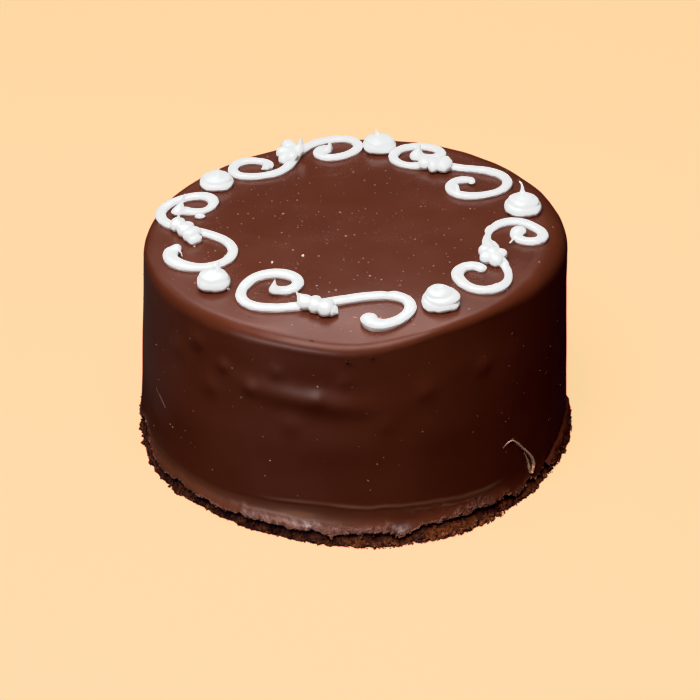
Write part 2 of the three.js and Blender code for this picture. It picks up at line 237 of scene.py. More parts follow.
class Field:
    """A field on a grid of cells: below zero inside the icing that is piped into it."""

    def __init__(self, low, high, cell):
        self.cell = cell
        self.low = np.asarray(low, float)
        size = np.ceil((np.asarray(high, float) - self.low) / cell).astype(int) + 1
        self.axes = [self.low[i] + cell * np.arange(size[i]) for i in range(3)]
        self.f = np.full(size, 9.0)
        x, y = np.meshgrid(self.axes[0], self.axes[1], indexing="ij")
        self.floor = top_height(x, y)

    def part(self, centre, reach):
        cut = []
        for i in range(3):
            lo = int(np.clip(np.floor((centre[i] - reach - self.low[i]) / self.cell), 0, self.f.shape[i] - 1))
            hi = int(np.clip(np.ceil((centre[i] + reach - self.low[i]) / self.cell) + 1, lo + 1, self.f.shape[i]))
            cut.append(slice(lo, hi))
        x = self.axes[0][cut[0]][:, None, None]
        y = self.axes[1][cut[1]][None, :, None]
        z = self.axes[2][cut[2]][None, None, :]
        return tuple(cut), x, y, z

    def join(self, cut, d, blend):
        f = self.f[cut]
        if blend > 0:
            h = np.clip(blend - np.abs(f - d), 0, None) / blend
            self.f[cut] = np.minimum(f, d) - h * h * blend * 0.25
        else:
            self.f[cut] = np.minimum(f, d)

    def lump(self, x, y, h, yaw, long, wide, high, blend=0.5, taper=0.0, lean=0.0, n=2.0):
        """An egg-shaped lump with its middle h over the icing; taper narrows it ahead, n over 2 makes it fuller."""
        c = (x, y, float(top_height(x, y)) + h)
        cut, gx, gy, gz = self.part(c, 1.35 * max(long, wide, high) + 1.5)
        cs, sn = math.cos(yaw * DEG), math.sin(yaw * DEG)
        p = (gx - c[0]) * cs + (gy - c[1]) * sn
        q = -(gx - c[0]) * sn + (gy - c[1]) * cs
        w = gz - c[2] - lean * p
        k = 1 - taper * np.clip(p / long, -1.2, 1.2)
        wide_at, high_at = wide * k, high * k
        p, q, w = np.abs(p) / long, np.abs(q) / wide_at, np.abs(w) / high_at
        k = np.maximum((p**n + q**n + w**n) ** (1 / n), 1e-3)
        slope = k ** (1 - n) * np.sqrt((p ** (n - 1) / long) ** 2 + (q ** (n - 1) / wide_at) ** 2 + (w ** (n - 1) / high_at) ** 2)
        self.join(cut, (k - 1) / np.maximum(slope, 0.1), blend)

    def shell(self, x, y, h, yaw, long, wide, high, blend=0.5, taper=0.0):
        """One shell of a piped bow, laid well into the one before it."""
        self.lump(x, y, h - 0.2, yaw, 0.93 * long, 1.14 * wide, 0.95 * high, 0.32 if blend else 0, taper, n=2.6)

    def thread(self, points, radii, blend=0.8, steps=10):
        """A drawn-out thread through points (x, y, height over the icing) of changing radius."""
        pts = np.array([(x, y, float(top_height(x, y)) + h) for x, y, h in points])
        t = np.linspace(0, len(pts) - 1, steps * (len(pts) - 1) + 1)
        line = np.stack([_spline(pts[:, i], t) for i in range(3)], 1)
        rad = np.maximum(0.05, np.interp(t, np.arange(len(radii)), radii))
        mid = (line.min(0) + line.max(0)) / 2
        reach = float(np.abs(line - mid).max() + max(radii) + 2.0)
        cut, gx, gy, gz = self.part(mid, reach)
        best = None
        for a, b, ra, rb in zip(line, line[1:], rad, rad[1:]):
            v = b - a
            s = ((gx - a[0]) * v[0] + (gy - a[1]) * v[1] + (gz - a[2]) * v[2]) / max(float(v @ v), 1e-9)
            s = np.clip(s, 0, 1)
            d = np.sqrt((gx - a[0] - s * v[0]) ** 2 + (gy - a[1] - s * v[1]) ** 2 + (gz - a[2] - s * v[2]) ** 2)
            d = d - (ra + s * (rb - ra))
            best = d if best is None else np.minimum(best, d)
        self.join(cut, best, blend)

    def cells(self):
        return self.axes[0][:, None, None], self.axes[1][None, :, None], self.axes[2][None, None, :]

    def crumple(self, size, amount, seed):
        """Slight unevenness near the surface."""
        near = np.argwhere(np.abs(self.f) < 1.2)
        x, y, z = (self.axes[i][near[:, i]] for i in range(3))
        self.f[tuple(near.T)] += amount * rough(x, y, z, size, seed, 2)

    def surface(self, sink=0.3):
        """Points and faces of the piped icing's surface, cut flat just inside the icing below."""
        gx, gy, gz = self.cells()
        f = np.maximum(self.f, self.floor[:, :, None] - sink - gz)
        for axis in range(3):  # nothing may reach the edge of the grid
            edge = [slice(None)] * 3
            for end in (0, -1):
                edge[axis] = end
                f[tuple(edge)] = np.maximum(f[tuple(edge)], 0.01)
        inside = f < 0
        n = np.array(f.shape) - 1
        corners = [(i, j, k) for i in (0, 1) for j in (0, 1) for k in (0, 1)]
        total = sum(inside[i : i + n[0], j : j + n[1], k : k + n[2]].astype(np.int8) for i, j, k in corners)
        cells = np.argwhere((total > 0) & (total < 8))
        number = np.full(tuple(n), -1, np.int64)
        number[tuple(cells.T)] = np.arange(len(cells))
        at = {c: f[cells[:, 0] + c[0], cells[:, 1] + c[1], cells[:, 2] + c[2]] for c in corners}
        place, hits = np.zeros((len(cells), 3)), np.zeros(len(cells))
        for c in corners:
            for axis in range(3):
                if c[axis]:
                    continue
                e = list(c)
                e[axis] = 1
                fa, fb = at[c], at[tuple(e)]
                cross = (fa < 0) != (fb < 0)
                t = np.where(cross, fa / np.where(cross, fa - fb, 1), 0)
                p = np.repeat(np.array([c], float), len(cells), 0)
                p[:, axis] += t
                place += p * cross[:, None]
                hits += cross
        points = self.low + self.cell * (cells + place / hits[:, None])
        faces = []
        for axis in range(3):
            u, v = (axis + 1) % 3, (axis + 2) % 3
            first = [slice(None)] * 3
            second = [slice(None)] * 3
            first[axis], second[axis] = slice(0, -1), slice(1, None)
            change = inside[tuple(first)] != inside[tuple(second)]
            edges = np.argwhere(change)
            edges = edges[(edges[:, u] > 0) & (edges[:, v] > 0)]
            quad = []
            for du, dv in ((-1, -1), (0, -1), (0, 0), (-1, 0)):
                c = edges.copy()
                c[:, u] += du
                c[:, v] += dv
                quad.append(number[tuple(c.T)])
            quad = np.stack(quad, 1)
            out = inside[tuple(first)][tuple(edges.T)]
            faces.append(np.where(out[:, None], quad, quad[:, ::-1]))
        faces = np.concatenate(faces)
        for _ in range(2):  # settle the points on the surface
            value, slope = self._sample(f, points)
            step = value[:, None] * slope / np.maximum((slope**2).sum(1), 1e-3)[:, None]
            length = np.sqrt((step**2).sum(1))
            points = points - step * np.minimum(1, 0.35 * self.cell / np.maximum(length, 1e-9))[:, None]
        return points, faces

    def _sample(self, f, points):
        g = (points - self.low) / self.cell
        i = np.clip(np.floor(g).astype(int), 0, np.array(f.shape) - 2)
        t = g - i
        c = {(a, b, d): f[i[:, 0] + a, i[:, 1] + b, i[:, 2] + d] for a in (0, 1) for b in (0, 1) for d in (0, 1)}

        def mix(axis_weights):
            wx, wy, wz = axis_weights
            return sum(c[(a, b, d)] * wx[a] * wy[b] * wz[d] for a in (0, 1) for b in (0, 1) for d in (0, 1))

        w = [(1 - t[:, k], t[:, k]) for k in range(3)]
        one = np.ones(len(points))
        diff = (-one, one)
        value = mix(w)
        slope = np.stack([mix([diff if k == m else w[k] for k in range(3)]) for m in range(3)], 1) / self.cell
        return value, slope


def _spline(v, t):
    """Catmull-Rom through the values v at the places t."""
    i = np.clip(np.floor(t).astype(int), 0, len(v) - 2)
    f = t - i
    p = np.concatenate([[2 * v[0] - v[1]], v, [2 * v[-1] - v[-2]]])
    p0, p1, p2, p3 = p[i], p[i + 1], p[i + 2], p[i + 3]
    return p1 + 0.5 * f * (p2 - p0 + f * (2 * p0 - 5 * p1 + 4 * p2 - p3 + f * (3 * (p1 - p2) + p3 - p0)))


# ---- materials --------------------------------------------------------------------------
class Nodes:
    def __init__(self, name):
        self.material = bpy.data.materials.new(name)
        self.material.use_nodes = True
        self.tree = self.material.node_tree
        self.shader = self.tree.nodes["Principled BSDF"]

    def add(self, kind, **sockets):
        node = self.tree.nodes.new(kind)
        for key, value in sockets.items():
            if isinstance(value, bpy.types.NodeSocket):
                self.tree.links.new(value, node.inputs[key])
            elif key in node.inputs:
                node.inputs[key].default_value = value
            else:
                setattr(node, key, value)
        return node

    def link(self, out, socket):
        self.tree.links.new(out, self.shader.inputs[socket])

    def set(self, **values):
        for key, value in values.items():
            self.shader.inputs[key.replace("_", " ")].default_value = value

    def coords(self):
        return self.add("ShaderNodeTexCoord").outputs["Object"]

    def noise(self, where, scale, detail=3.0, roughness=0.5):
        return self.add("ShaderNodeTexNoise", Vector=where, Scale=scale, Detail=detail, Roughness=roughness).outputs["Fac"]

    def span(self, value, low, high, to_low, to_high):
        node = self.add("ShaderNodeMapRange")
        self.tree.links.new(value, node.inputs["Value"])
        for key, v in (("From Min", low), ("From Max", high), ("To Min", to_low), ("To Max", to_high)):
            node.inputs[key].default_value = v
        return node.outputs["Result"]

    def mix(self, factor, a, b):
        node = self.add("ShaderNodeMix", data_type="RGBA")
        for key, v in ((0, factor), (6, a), (7, b)):
            if isinstance(v, bpy.types.NodeSocket):
                self.tree.links.new(v, node.inputs[key])
            else:
                node.inputs[key].default_value = v
        return node.outputs[2]

    def math(self, operation, a, b):
        node = self.add("ShaderNodeMath", operation=operation)
        for key, v in ((0, a), (1, b)):
            if isinstance(v, bpy.types.NodeSocket):
                self.tree.links.new(v, node.inputs[key])
            else:
                node.inputs[key].default_value = v
        return node.outputs[0]

    def bump(self, height, distance, strength, before=None):
        node = self.add("ShaderNodeBump", Height=height)
        node.inputs["Distance"].default_value = distance
        node.inputs["Strength"].default_value = strength
        if before is not None:
            self.tree.links.new(before, node.inputs["Normal"])
        return node.outputs["Normal"]

    def value_of(self, name):
        node = self.add("ShaderNodeAttribute")
        node.attribute_name = name
        return node.outputs["Fac"]


def chocolate():
    m = Nodes("chocolate_icing")
    where = m.coords()
    broad = m.noise(where, 26, 3)
    fine = m.noise(where, 260, 3)
    grain = m.noise(where, 1500, 2)
    base = m.mix(m.span(broad, 0.3, 0.7, 0, 1), (0.1080, 0.0258, 0.0100, 1), (0.1260, 0.0314, 0.0124, 1))
    base = m.mix(m.span(fine, 0.55, 0.8, 0, 0.30), base, (0.150, 0.042, 0.017, 1))
    # pale crease streaks with a painted highlight on the ridge, and painted sheen on the skirt
    base = m.mix(m.value_of("tan"), base, (0.290, 0.125, 0.068, 1))
    torn = m.value_of("torn")
    patches = m.noise(where, 620, 4, 0.6)
    ragged = m.mix(m.span(patches, 0.40, 0.60, 0, 1), (0.058, 0.0140, 0.0054, 1), (0.175, 0.066, 0.038, 1))
    # painted glints: bluish-white painted highlights on the skirt over the torn edge
    base = m.mix(m.math("MULTIPLY", m.value_of("painted_glint"), m.span(patches, 0.35, 0.62, 0.25, 1)), base, (0.400, 0.330, 0.330, 1))
    m.link(m.mix(torn, base, ragged), "Base Color")
    gloss = m.span(m.noise(where, 55, 4), 0.3, 0.7, 0.21, 0.27)
    gloss = m.math("ADD", gloss, m.span(grain, 0.3, 0.7, -0.01, 0.02))
    gloss = m.math("ADD", gloss, m.span(m.value_of("dull"), 0, 1, 0, 0.10))
    m.link(m.math("ADD", gloss, m.span(torn, 0, 1, 0, 0.25)), "Roughness")
    normal = m.bump(fine, 0.0004, 0.05)
    normal = m.bump(grain, 0.00012, 0.03, normal)
    torn_bump = m.math("MULTIPLY", patches, torn)
    m.link(m.bump(torn_bump, 0.0009, 0.9, normal), "Normal")
    m.set(IOR=1.46)
    return m.material


def crumb(name, dark, light, scale):
    m = Nodes(name)
    where = m.coords()
    spots = m.noise(where, scale, 5, 0.62)
    pores = m.add("ShaderNodeTexVoronoi", Vector=where, Scale=scale * 1.1).outputs["Distance"]
    base = m.mix(m.span(spots, 0.38, 0.62, 0, 1), dark, light)
    # the pores are painted darker: painted shade in the holes of the crumb
    base = m.mix(m.span(pores, 0.0, 0.30, 0.6, 0.0), base, (0.030, 0.0060, 0.0020, 1))
    base = m.mix(m.span(m.noise(where, 0.3 * scale, 2), 0.40, 0.58, 0.8, 0.0), base, (0.020, 0.0042, 0.0012, 1))
    m.link(base, "Base Color")
    m.link(m.span(spots, 0.3, 0.7, 0.95, 0.75), "Roughness")
    normal = m.bump(spots, 0.0009, 0.8)
    m.link(m.bump(pores, 0.0006, 0.6, normal), "Normal")
    m.set(IOR=1.4)
    return m.material


def white():
    m = Nodes("white_icing")
    where = m.coords()
    broad = m.noise(where, 120, 3)
    fine = m.noise(where, 900, 3)
    m.link(m.mix(m.span(broad, 0.3, 0.7, 0, 1), (0.825, 0.855, 0.868, 1), (0.790, 0.826, 0.842, 1)), "Base Color")
    m.link(m.span(fine, 0.3, 0.7, 0.42, 0.58), "Roughness")
    normal = m.bump(broad, 0.0005, 0.12)
    m.link(m.bump(fine, 0.00015, 0.22, normal), "Normal")
    m.set(IOR=1.44)
    m.set(Subsurface_Weight=1.0)
    m.set(Subsurface_Radius=(1.0, 1.0, 1.0))
    m.set(Subsurface_Scale=0.0022)
    return m.material


def bubble(name, dark, light):
    m = Nodes(name)
    where = m.coords()
    spots = m.noise(where, 700, 2)
    m.link(m.mix(m.span(spots, 0.3, 0.7, 0, 1), dark, light), "Base Color")
    m.link(m.span(spots, 0.3, 0.7, 0.35, 0.5), "Roughness")
    m.set(IOR=1.46)
    return m.material


CHOCOLATE = chocolate()
CRUMB = crumb("cake_crumb", (0.034, 0.0062, 0.0016, 1), (0.185, 0.046, 0.0085, 1), 560)
BITS = crumb("loose_crumb", (0.060, 0.0150, 0.0040, 1), (0.340, 0.110, 0.034, 1), 800)
SHRED = bubble("torn_icing", (0.100, 0.033, 0.018, 1), (0.270, 0.120, 0.076, 1))
WHITE = white()
# pale speck colour: the bubbles' own paler glaze, with a painted highlight on them
PALE_SPECK_AND_HIGHLIGHT = bubble("icing_bubble", (0.250, 0.150, 0.114, 1), (0.430, 0.305, 0.250, 1))
# near-black pit colour: painted shade standing in for the inside of small hollows
PIT_SHADE = bubble("icing_pit_shade", (0.030, 0.0065, 0.0025, 1), (0.055, 0.0130, 0.0050, 1))
# very pale tan for the raised drip: a painted highlight where the ridge catches the light
DRIP_HIGHLIGHT = bubble("icing_drip_highlight", (0.780, 0.450, 0.290, 1), (0.900, 0.580, 0.390, 1))

# ---- the icing's skin -------------------------------------------------------------------
# Height of the icing's torn lower edge round the cake: angle in degrees, mm.
LIP = ((-161, 18.6), (-157.5, 12.4), (-155.5, 10.2), (-151.7, 6.8), (-149.1, 6.8), (-146.2, 6.6), (-142.7, 6.6),
       (-139.1, 8.9), (-137.2, 7.6), (-134.7, 7.3), (-131.1, 7.8), (-128.6, 7.8), (-126.3, 7.6), (-124.2, 6.8),
       (-122, 7.7), (-119.6, 7.7), (-118.4, 8.8), (-117.1, 7.5), (-114.3, 7.8), (-112.5, 8), (-110.3, 7.8), (-107.8, 7.7),
       (-105.2, 6.9), (-102.8, 6.6), (-101.5, 6.6), (-100.4, 7), (-97.9, 6.5), (-96.2, 5.1), (-95, 5), (-93.1, 6),
       (-90.7, 6), (-88.3, 6.2), (-87.1, 6.3), (-85.9, 7), (-84.5, 6.5), (-83.5, 6.9), (-82.1, 6.4), (-81.6, 7.4),
       (-80.7, 6), (-79.5, 4.5), (-77.8, 4), (-77.2, 4.8), (-75.4, 5.4), (-73.6, 6.1), (-72.5, 6.9), (-70.4, 6.9),
       (-68.3, 6.4), (-67.2, 7.2), (-65, 7.2), (-62.8, 7), (-61.1, 6.8), (-58.6, 7.1), (-56.7, 7.9), (-54.3, 6.9),
       (-52.9, 6.9), (-50.2, 6.8), (-48.9, 7.5), (-48.1, 7.9), (-45.7, 5.9), (-44.6, 3.6), (-41.8, 4.1), (-40.4, 4.3),
       (-39, 6.6), (-37.5, 7.3), (-34.8, 4.3), (-33.7, 4.6), (-31.3, 5.5), (-29, 7.4), (-27.4, 2.2), (-20, 1.5),
       (-10, 1.3), (2, 1.6), (8, 3.4), (12, 4.8), (20, 6.2), (28, 5), (41, 5.6), (47, 7.4), (55, 4.9), (68, 5.8),
       (80, 6.6), (86, 4.2), (95, 5.3), (108, 5.9), (116, 7.8), (122, 5.2), (135, 4.6), (150, 6), (163, 5.1), (172, 6.8),
       (180, 7.4), (188, 8.4), (194, 14.5))
# How far up from that edge the icing is torn.
WORN = ((-165, 2.5), (-150, 0.9), (-125, 0.8), (-116, 0.9), (-112, 1.3), (-100, 1.6), (-96, 2.8), (-92, 2.4), (-86, 1.8), (-80, 2.6),
        (-77, 1.6), (-74, 0.9), (-68, 1.5), (-64, 2.8), (-60, 4.2), (-56, 5.0), (-53, 4.2), (-51, 1.3), (-47, 1.5), (-44, 3.0),
        (-40, 2.0), (-36, 1.2), (-28, 1.6), (8, 1.5), (40, 1.0), (60, 2.6), (75, 1.0), (110, 1.2), (118, 3.0), (130, 1.0), (170, 1.2), (195, 2.5))
# The crease that the smoothing edge left, and the groove over the run-out foot at the right.
CREASE = ((-125, 17.6), (-110.6, 18.6), (-105.9, 19.4), (-100.8, 19.7), (-95.8, 19.2), (-92.1, 18.7), (-88.3, 18.1), (-85.8, 17.9),
          (-82.1, 18.2), (-75.6, 17.4), (-70.3, 17.1), (-66.2, 16.3), (-63.3, 16.1), (-60.4, 15.2), (-56.4, 15.0), (-52.4, 15.3),
          (-40, 16.4), (60, 18.0), (150, 18.6), (235, 17.6))
GROOVE = ((-31, 6.4), (-28.6, 7.6), (-21.2, 11.4), (-14.8, 12.8), (-9.6, 14.0), (-2, 12.4), (6, 8.0), (10, 6.0))
# How far out the bare crumb reaches on the ground.
CRUMB_OUT = ((-165, 106.2), (-159.6, 106.9), (-154, 108.2), (-148.5, 108.7), (-143.4, 108.8), (-138.6, 109.2), (-135.1, 108.6),
             (-131.6, 108.3), (-128.5, 107.8), (-125, 108.3), (-122, 108.2), (-118.8, 108.8), (-114.3, 109.6), (-110.6, 109.0),
             (-105.4, 108.9), (-100.4, 109.7), (-95.5, 110.5), (-90.7, 110.6), (-86, 111.4), (-81.4, 112.0), (-78.9, 111.4),
             (-75.2, 111.0), (-66.6, 111.2), (-59.9, 111.2), (-54, 110.4), (-48.4, 108.9), (-41.7, 108.7), (-34.9, 108.2),
             (-30.6, 107.4), (-25.7, 107.6), (-11.1, 107.8), (0, 107.4), (10, 106.8), (60, 107.6), (120, 107.2), (195, 106.2))


def jagged(a):
    x, y = 106 * np.cos(a), 106 * np.sin(a)
    return 0.55 * rough(x, y, 3, 2.6, 32, 2) + 0.65 * np.abs(rough(x, y, 7, 1.1, 33, 2)) - 0.2


def lip_height(a):
    return np.maximum(along(LIP, a) + jagged(a), 0.9)


def ledge(a):
    """The foot on the right has run out under the side."""
    return smooth(turn(a, -30.5), 0, 3) * smooth(-turn(a, 9), 0, 6)


# Soft lumps in the icing of the upper side: angle, height, width, how far they stand out.
LUMPS = ((-125, 81, 3.4, 0.9), (-117, 74, 3.4, 0.7), (-99, 75, 3.6, 0.55), (-134, 88, 4.6, 0.9), (-142, 78, 5.0, 0.6), (-110, 85, 3.4, 0.5),
         (-92, 84, 3.6, 0.45), (-106, 60, 6.0, 0.7), (-129, 68, 5.0, 0.7), (-72, 76, 4.5, 0.7), (-55, 81, 4.0, 0.6), (-82, 61, 5.0, 0.5),
         (30, 78, 4.0, 0.8), (76, 70, 5.0, 0.8), (110, 82, 3.6, 0.7), (142, 74, 4.4, 0.8), (170, 80, 4.0, 0.6))


def skin_radius(a, z):
    r = side_radius(a, z)
    x, y = r * np.cos(a), r * np.sin(a)
    high = smooth(z, 16, 34) * (1 - smooth(z, 80, 95))
    r = r + high * (0.45 * noise(x, y, z * 0.55, 46, 41) + 0.24 * noise(x, y, z * 0.7, 17, 42))
    # a fold under the slumped front edge, and a fainter one lower down
    front = np.exp(-((turn(a, -101) / 15) ** 2))
    r = r + front * 1.35 * np.exp(-(((z - 72.5 + 0.15 * turn(a, -100)) / 5.4) ** 2))
    for at, up, wide, much in LUMPS:
        r = r + much * np.exp(-((turn(a, at) * 1.8 / wide) ** 2) - ((z - up) / wide) ** 2)
    wide_front = np.exp(-((turn(a, -96) / 40) ** 2))
    r = r + wide_front * 0.30 * np.exp(-(((z - 50 - 0.05 * turn(a, -96)) / 8.0) ** 2))
    # crease of the smoothing edge
    line = along(CREASE, a) + 0.3 * noise(x, y, 0, 7, 43)
    shows = 0.2 + 0.8 * smooth(turn(a, -116), 0, 10) * smooth(-turn(a, -49), 0, 8)
    r = r + shows * (0.17 * np.exp(-(((z - line) / 0.8) ** 2)) - 0.10 * np.exp(-(((z - line + 1.8) / 1.0) ** 2)))
    spread = smooth(turn(a, -76), 0, 5) * smooth(-turn(a, -50), 0, 4)
    for k, off in enumerate((1.5, 3.0)):
        wave = line - off + 0.6 * noise(x, y, 5 * k, 12, 45 + k)
        r = r + spread * 0.12 * np.exp(-(((z - wave) / 0.5) ** 2))
    low = 1 - smooth(z, 6, 17)
    r = r + low * (0.30 * rough(x, y, z, 15, 47, 2) + 0.12 * rough(x, y, z, 4.0, 48, 2))
    # the edge curls out over the crumb
    lip = along(LIP, a)
    curl = 0.3 + 0.8 * flared(a) + 0.7 * np.exp(-((turn(a, -107) / 9) ** 2)) + 0.8 * np.exp(-((turn(a, -80.0) / 2.6) ** 2))
    r = r + (1 - ledge(a)) * curl * np.exp(-((np.maximum(z - lip, 0) / 2.6) ** 2)) * (1 + 0.35 * noise(x, y, 1, 11, 49))
    # the run-out foot at the right, with a groove over it
    groove = along(GROOVE, np.clip(np.where(np.abs(turn(a, -10)) < 30, a, -10 * DEG), -31 * DEG, 10 * DEG)) + 0.5 * noise(x, y, 2, 5, 51)
    out = 1 - smooth(z, groove - 1.6, groove - 0.2)
    r = r + ledge(a) * (out * (0.9 + 1.1 * (1 - z / 14) + 0.8 * rough(x, y, z, 4, 50, 3)) - 0.9 * np.exp(-(((z - groove) / 0.8) ** 2)))
    return r


def torn_at(a, z):
    x, y = 106 * np.cos(a), 106 * np.sin(a)
    t = (z - lip_height(a)) / along(WORN, a)
    torn = np.clip(1.2 - t + 0.9 * rough(x, y, z, 2.4, 36, 3), 0, 1)
    run = ledge(a) * (1 - smooth(z, 5, 12)) * np.clip(0.35 + 0.9 * rough(x, y, z, 3.2, 37, 2), 0, 0.7)
    return np.maximum(torn, run)


def tan_and_sheen_at(a, z):
    """A pale tint along the crease and below it: the crease streak and fan are pale scraped icing with a painted
    highlight on the crease ridge, and the patches on the front skirt and at the left are painted sheen.
    """
    x, y = 106 * np.cos(a), 106 * np.sin(a)
    line = along(CREASE, a) + 0.3 * noise(x, y, 0, 7, 43)
    shows = smooth(turn(a, -116), 0, 14) * smooth(-turn(a, -47), 0, 7)
    streak = np.exp(-(((z - line + 0.1) / 0.8) ** 2)) * (0.85 + 0.5 * noise(x, y, 0, 15, 53))
    spread = smooth(turn(a, -84), 0, 18) * smooth(-turn(a, -48), 0, 7)
    fan = spread * np.exp(-(((z - line + 2.6) / 2.2) ** 2)) * np.clip(0.16 + 0.3 * noise(x * 0.4, y * 0.4, z, 1.0, 54), 0, 1)
    middle = 0.5 * (line + along(LIP, a))
    # painted sheen: the skirt painted paler where it would catch the light
    painted_sheen = (0.26 * np.exp(-((turn(a, -100) / 16) ** 2)) + 0.26 * np.exp(-((turn(a, -136) / 20) ** 2))) * np.exp(-(((z - middle + 1.0) / 3.4) ** 2))
    painted_sheen = painted_sheen + 0.6 * np.exp(-((turn(a, -104) / 5) ** 2)) * np.exp(-(((z - 13.4) / 1.8) ** 2))
    painted_sheen = painted_sheen + 0.16 * np.exp(-((turn(a, -153) / 9) ** 2)) * np.exp(-(((z - 14) / 8) ** 2))
    drip = 0.10 * np.exp(-((turn(a, -43.0) / 1.4) ** 2)) * smooth(z, 24, 34) * (1 - smooth(z, 44, 52))
    return np.clip(shows * streak + fan + painted_sheen + drip, 0, 1)


def painted_glint_at(a, z):
    """Painted glints: pale bluish-white painted highlights just over the torn edge, where the curled skirt would
    reflect the light.
    """
    x, y = 106 * np.cos(a), 106 * np.sin(a)
    over = z - along(LIP, a)
    spots = 0
    for at, reach, up, high, much in ((-101.6, 5.0, 2.4, 1.6, 0.8), (-78.6, 2.4, 2.4, 1.6, 0.62), (-114.0, 4.0, 1.9, 1.3, 0.45), (40, 6, 2, 1.6, 0.6), (150, 7, 2, 1.6, 0.6)):
        spots = spots + much * np.exp(-((turn(a, at) / reach) ** 2)) * np.exp(-(((over - up) / high) ** 2))
    return np.clip(spots * (0.75 + 1.1 * noise(x + 0.9 * z, y, 0.5 * z, 1.3, 55)), 0, 1)


# Small burst bubbles near the edge: angle, distance from the middle, radius.
PITS = ((-101.3, 97.4, 0.85), (-92.0, 101.7, 0.7), (-86.0, 100.6, 0.65), (-121.0, 92.0, 0.4), (-62.0, 93.0, 0.4), (35, 90, 0.6), (118, 92, 0.7))


def skin_top(x, y):
    a, r = np.arctan2(y, x), np.hypot(x, y)
    inner = 1 - smooth(r, edge_radius(a) - 3.0, edge_radius(a))
    return top_height(x, y) + inner * (0.10 * noise(x, y, 0, 34, 61) + 0.035 * noise(x, y, 3, 12, 62))


def ring(columns, place):
    a = 2 * np.pi * np.arange(columns) / columns - np.pi
    r, z = place(a)
    return np.stack([r * np.cos(a), r * np.sin(a), np.broadcast_to(z, a.shape)], 1)


def icing():
    rings, torn, tan, dull, painted_glint = [], [], [], [], []

    def add(columns, place, worn=None, top=False):
        a = 2 * np.pi * np.arange(columns) / columns - np.pi
        r, z = place(a)
        z = np.broadcast_to(np.asarray(z, float), a.shape)
        shade = np.full(columns, worn) if worn is not None else torn_at(a, z)
        if worn is None:  # torn icing is rough
            x, y = r * np.cos(a), r * np.sin(a)
            r = r + shade * (0.42 * rough(x, y, z, 1.7, 38, 2) - 0.12)
        rings.append(np.stack([r * np.cos(a), r * np.sin(a), z], 1))
        torn.append(shade)
        dull.append(smooth(r, 62, 96) * (1 - 0.7 * smooth(r * np.cos(a), 35, 85)) if top else np.ones(columns))
        # per point: the pale crease tint with its painted sheen, and the painted glints
        tan.append(tan_and_sheen_at(a, z) if worn is None else np.zeros(columns))
        painted_glint.append(painted_glint_at(a, z) if worn is None else np.zeros(columns))

    fine, mid, coarse = 1792, 896, 448
    add(56, lambda a: (0.45 * RADIUS, 8.0), 1.0)
    for inward, up in ((5.0, 2.2), (3.0, 1.5), (1.5, 0.7), (0.7, 0.15), (0.25, 0.1)):
        def under(a, inward=inward, up=up):
            x, y = 106 * np.cos(a), 106 * np.sin(a)
            thin = 1 + 0.5 * rough(x, y, 5, 2.0, 34, 2)
            z = lip_height(a) + up
            return skin_radius(a, z) - inward * thin, z
        add(fine, under, 1.0)
    for t in (np.linspace(0, 1, 21) ** 1.25)[:-1]:
        def place(a, t=t):
            z0 = lip_height(a) + 0.3
            z1 = np.maximum(np.maximum(14.4, along(LIP, a) + 4.5), ledge(a) * 16.5)
            z = z0 + (z1 - z0) * t
            return skin_radius(a, z), z
        add(fine, place)
    for t in np.linspace(0, 1, 15)[:-1]:
        def place(a, t=t):
            z1 = np.maximum(np.maximum(14.4, along(LIP, a) + 4.5), ledge(a) * 16.5)
            z = z1 + (24.5 - z1) * t
            return skin_radius(a, z), z
        add(mid, place)
    for share in np.linspace(0, 1, 43):
        def place(a, share=share):
            z = 24.5 + share * (side_top(a) - 24.5)
            return skin_radius(a, z), z
        add(coarse, place, 0.0)
    for t in np.arange(5, 91, 5.0) * DEG:
        def place(a, t=t):
            r = edge_radius(a) - shoulder(a) * (1 - np.cos(t))
            x, y = r * np.cos(a), r * np.sin(a)
            uneven = np.sin(2 * t) * (0.38 * noise(x, y, 7, 17, 63) + 0.12 * noise(x, y, 9, 8, 64))
            return r + uneven, skin_top(x, y) + 0.6 * uneven
        add(coarse, place, 0.0)
    for columns, shares in ((448, np.linspace(0.97, 0.60, 14)), (224, np.linspace(0.56, 0.24, 9)), (56, np.linspace(0.2, 0.04, 5))):
        for share in shares:
            def place(a, share=share):
                r = share * (edge_radius(a) - shoulder(a))
                return r, skin_top(r * np.cos(a), r * np.sin(a))
            add(columns, place, 0.0, True)
    points, faces = rings_mesh(rings, (0, 0, 8.0), (0, 0, float(skin_top(np.array(0.0), np.array(0.0)))))
    values = {key: np.concatenate([[first], *of_rings, [0.0]]) for key, first, of_rings in (("torn", 1.0, torn), ("tan", 0.0, tan), ("dull", 1.0, dull), ("painted_glint", 0.0, painted_glint))}
    return make("icing_skin", points, faces, CHOCOLATE, ["iced_cake"], values)


def crumb_radius(a, z):
    x, y = 106 * np.cos(a), 106 * np.sin(a)
    lip = np.maximum(along(LIP, a), 3.0)
    inner = skin_radius(a, lip + 0.6) - 3.2
    out = along(CRUMB_OUT, a) - 0.4
    r = out + (inner - out) * smooth(z, 0.15 * lip, 1.02 * lip) ** 0.9
    lumpy = 1 - 0.5 * smooth(z, lip - 1, lip + 1)
    r = r + lumpy * (0.8 * noise(x, y, z * 0.6, 7, 71) + 1.15 * rough(x, y, z, 3.4, 72, 3, 0.6) + 0.4 * rough(x, y, z, 1.0, 73, 2))
    return np.where(z > lip - 0.6, np.minimum(r, skin_radius(a, np.maximum(z, lip)) - 1.3), r)


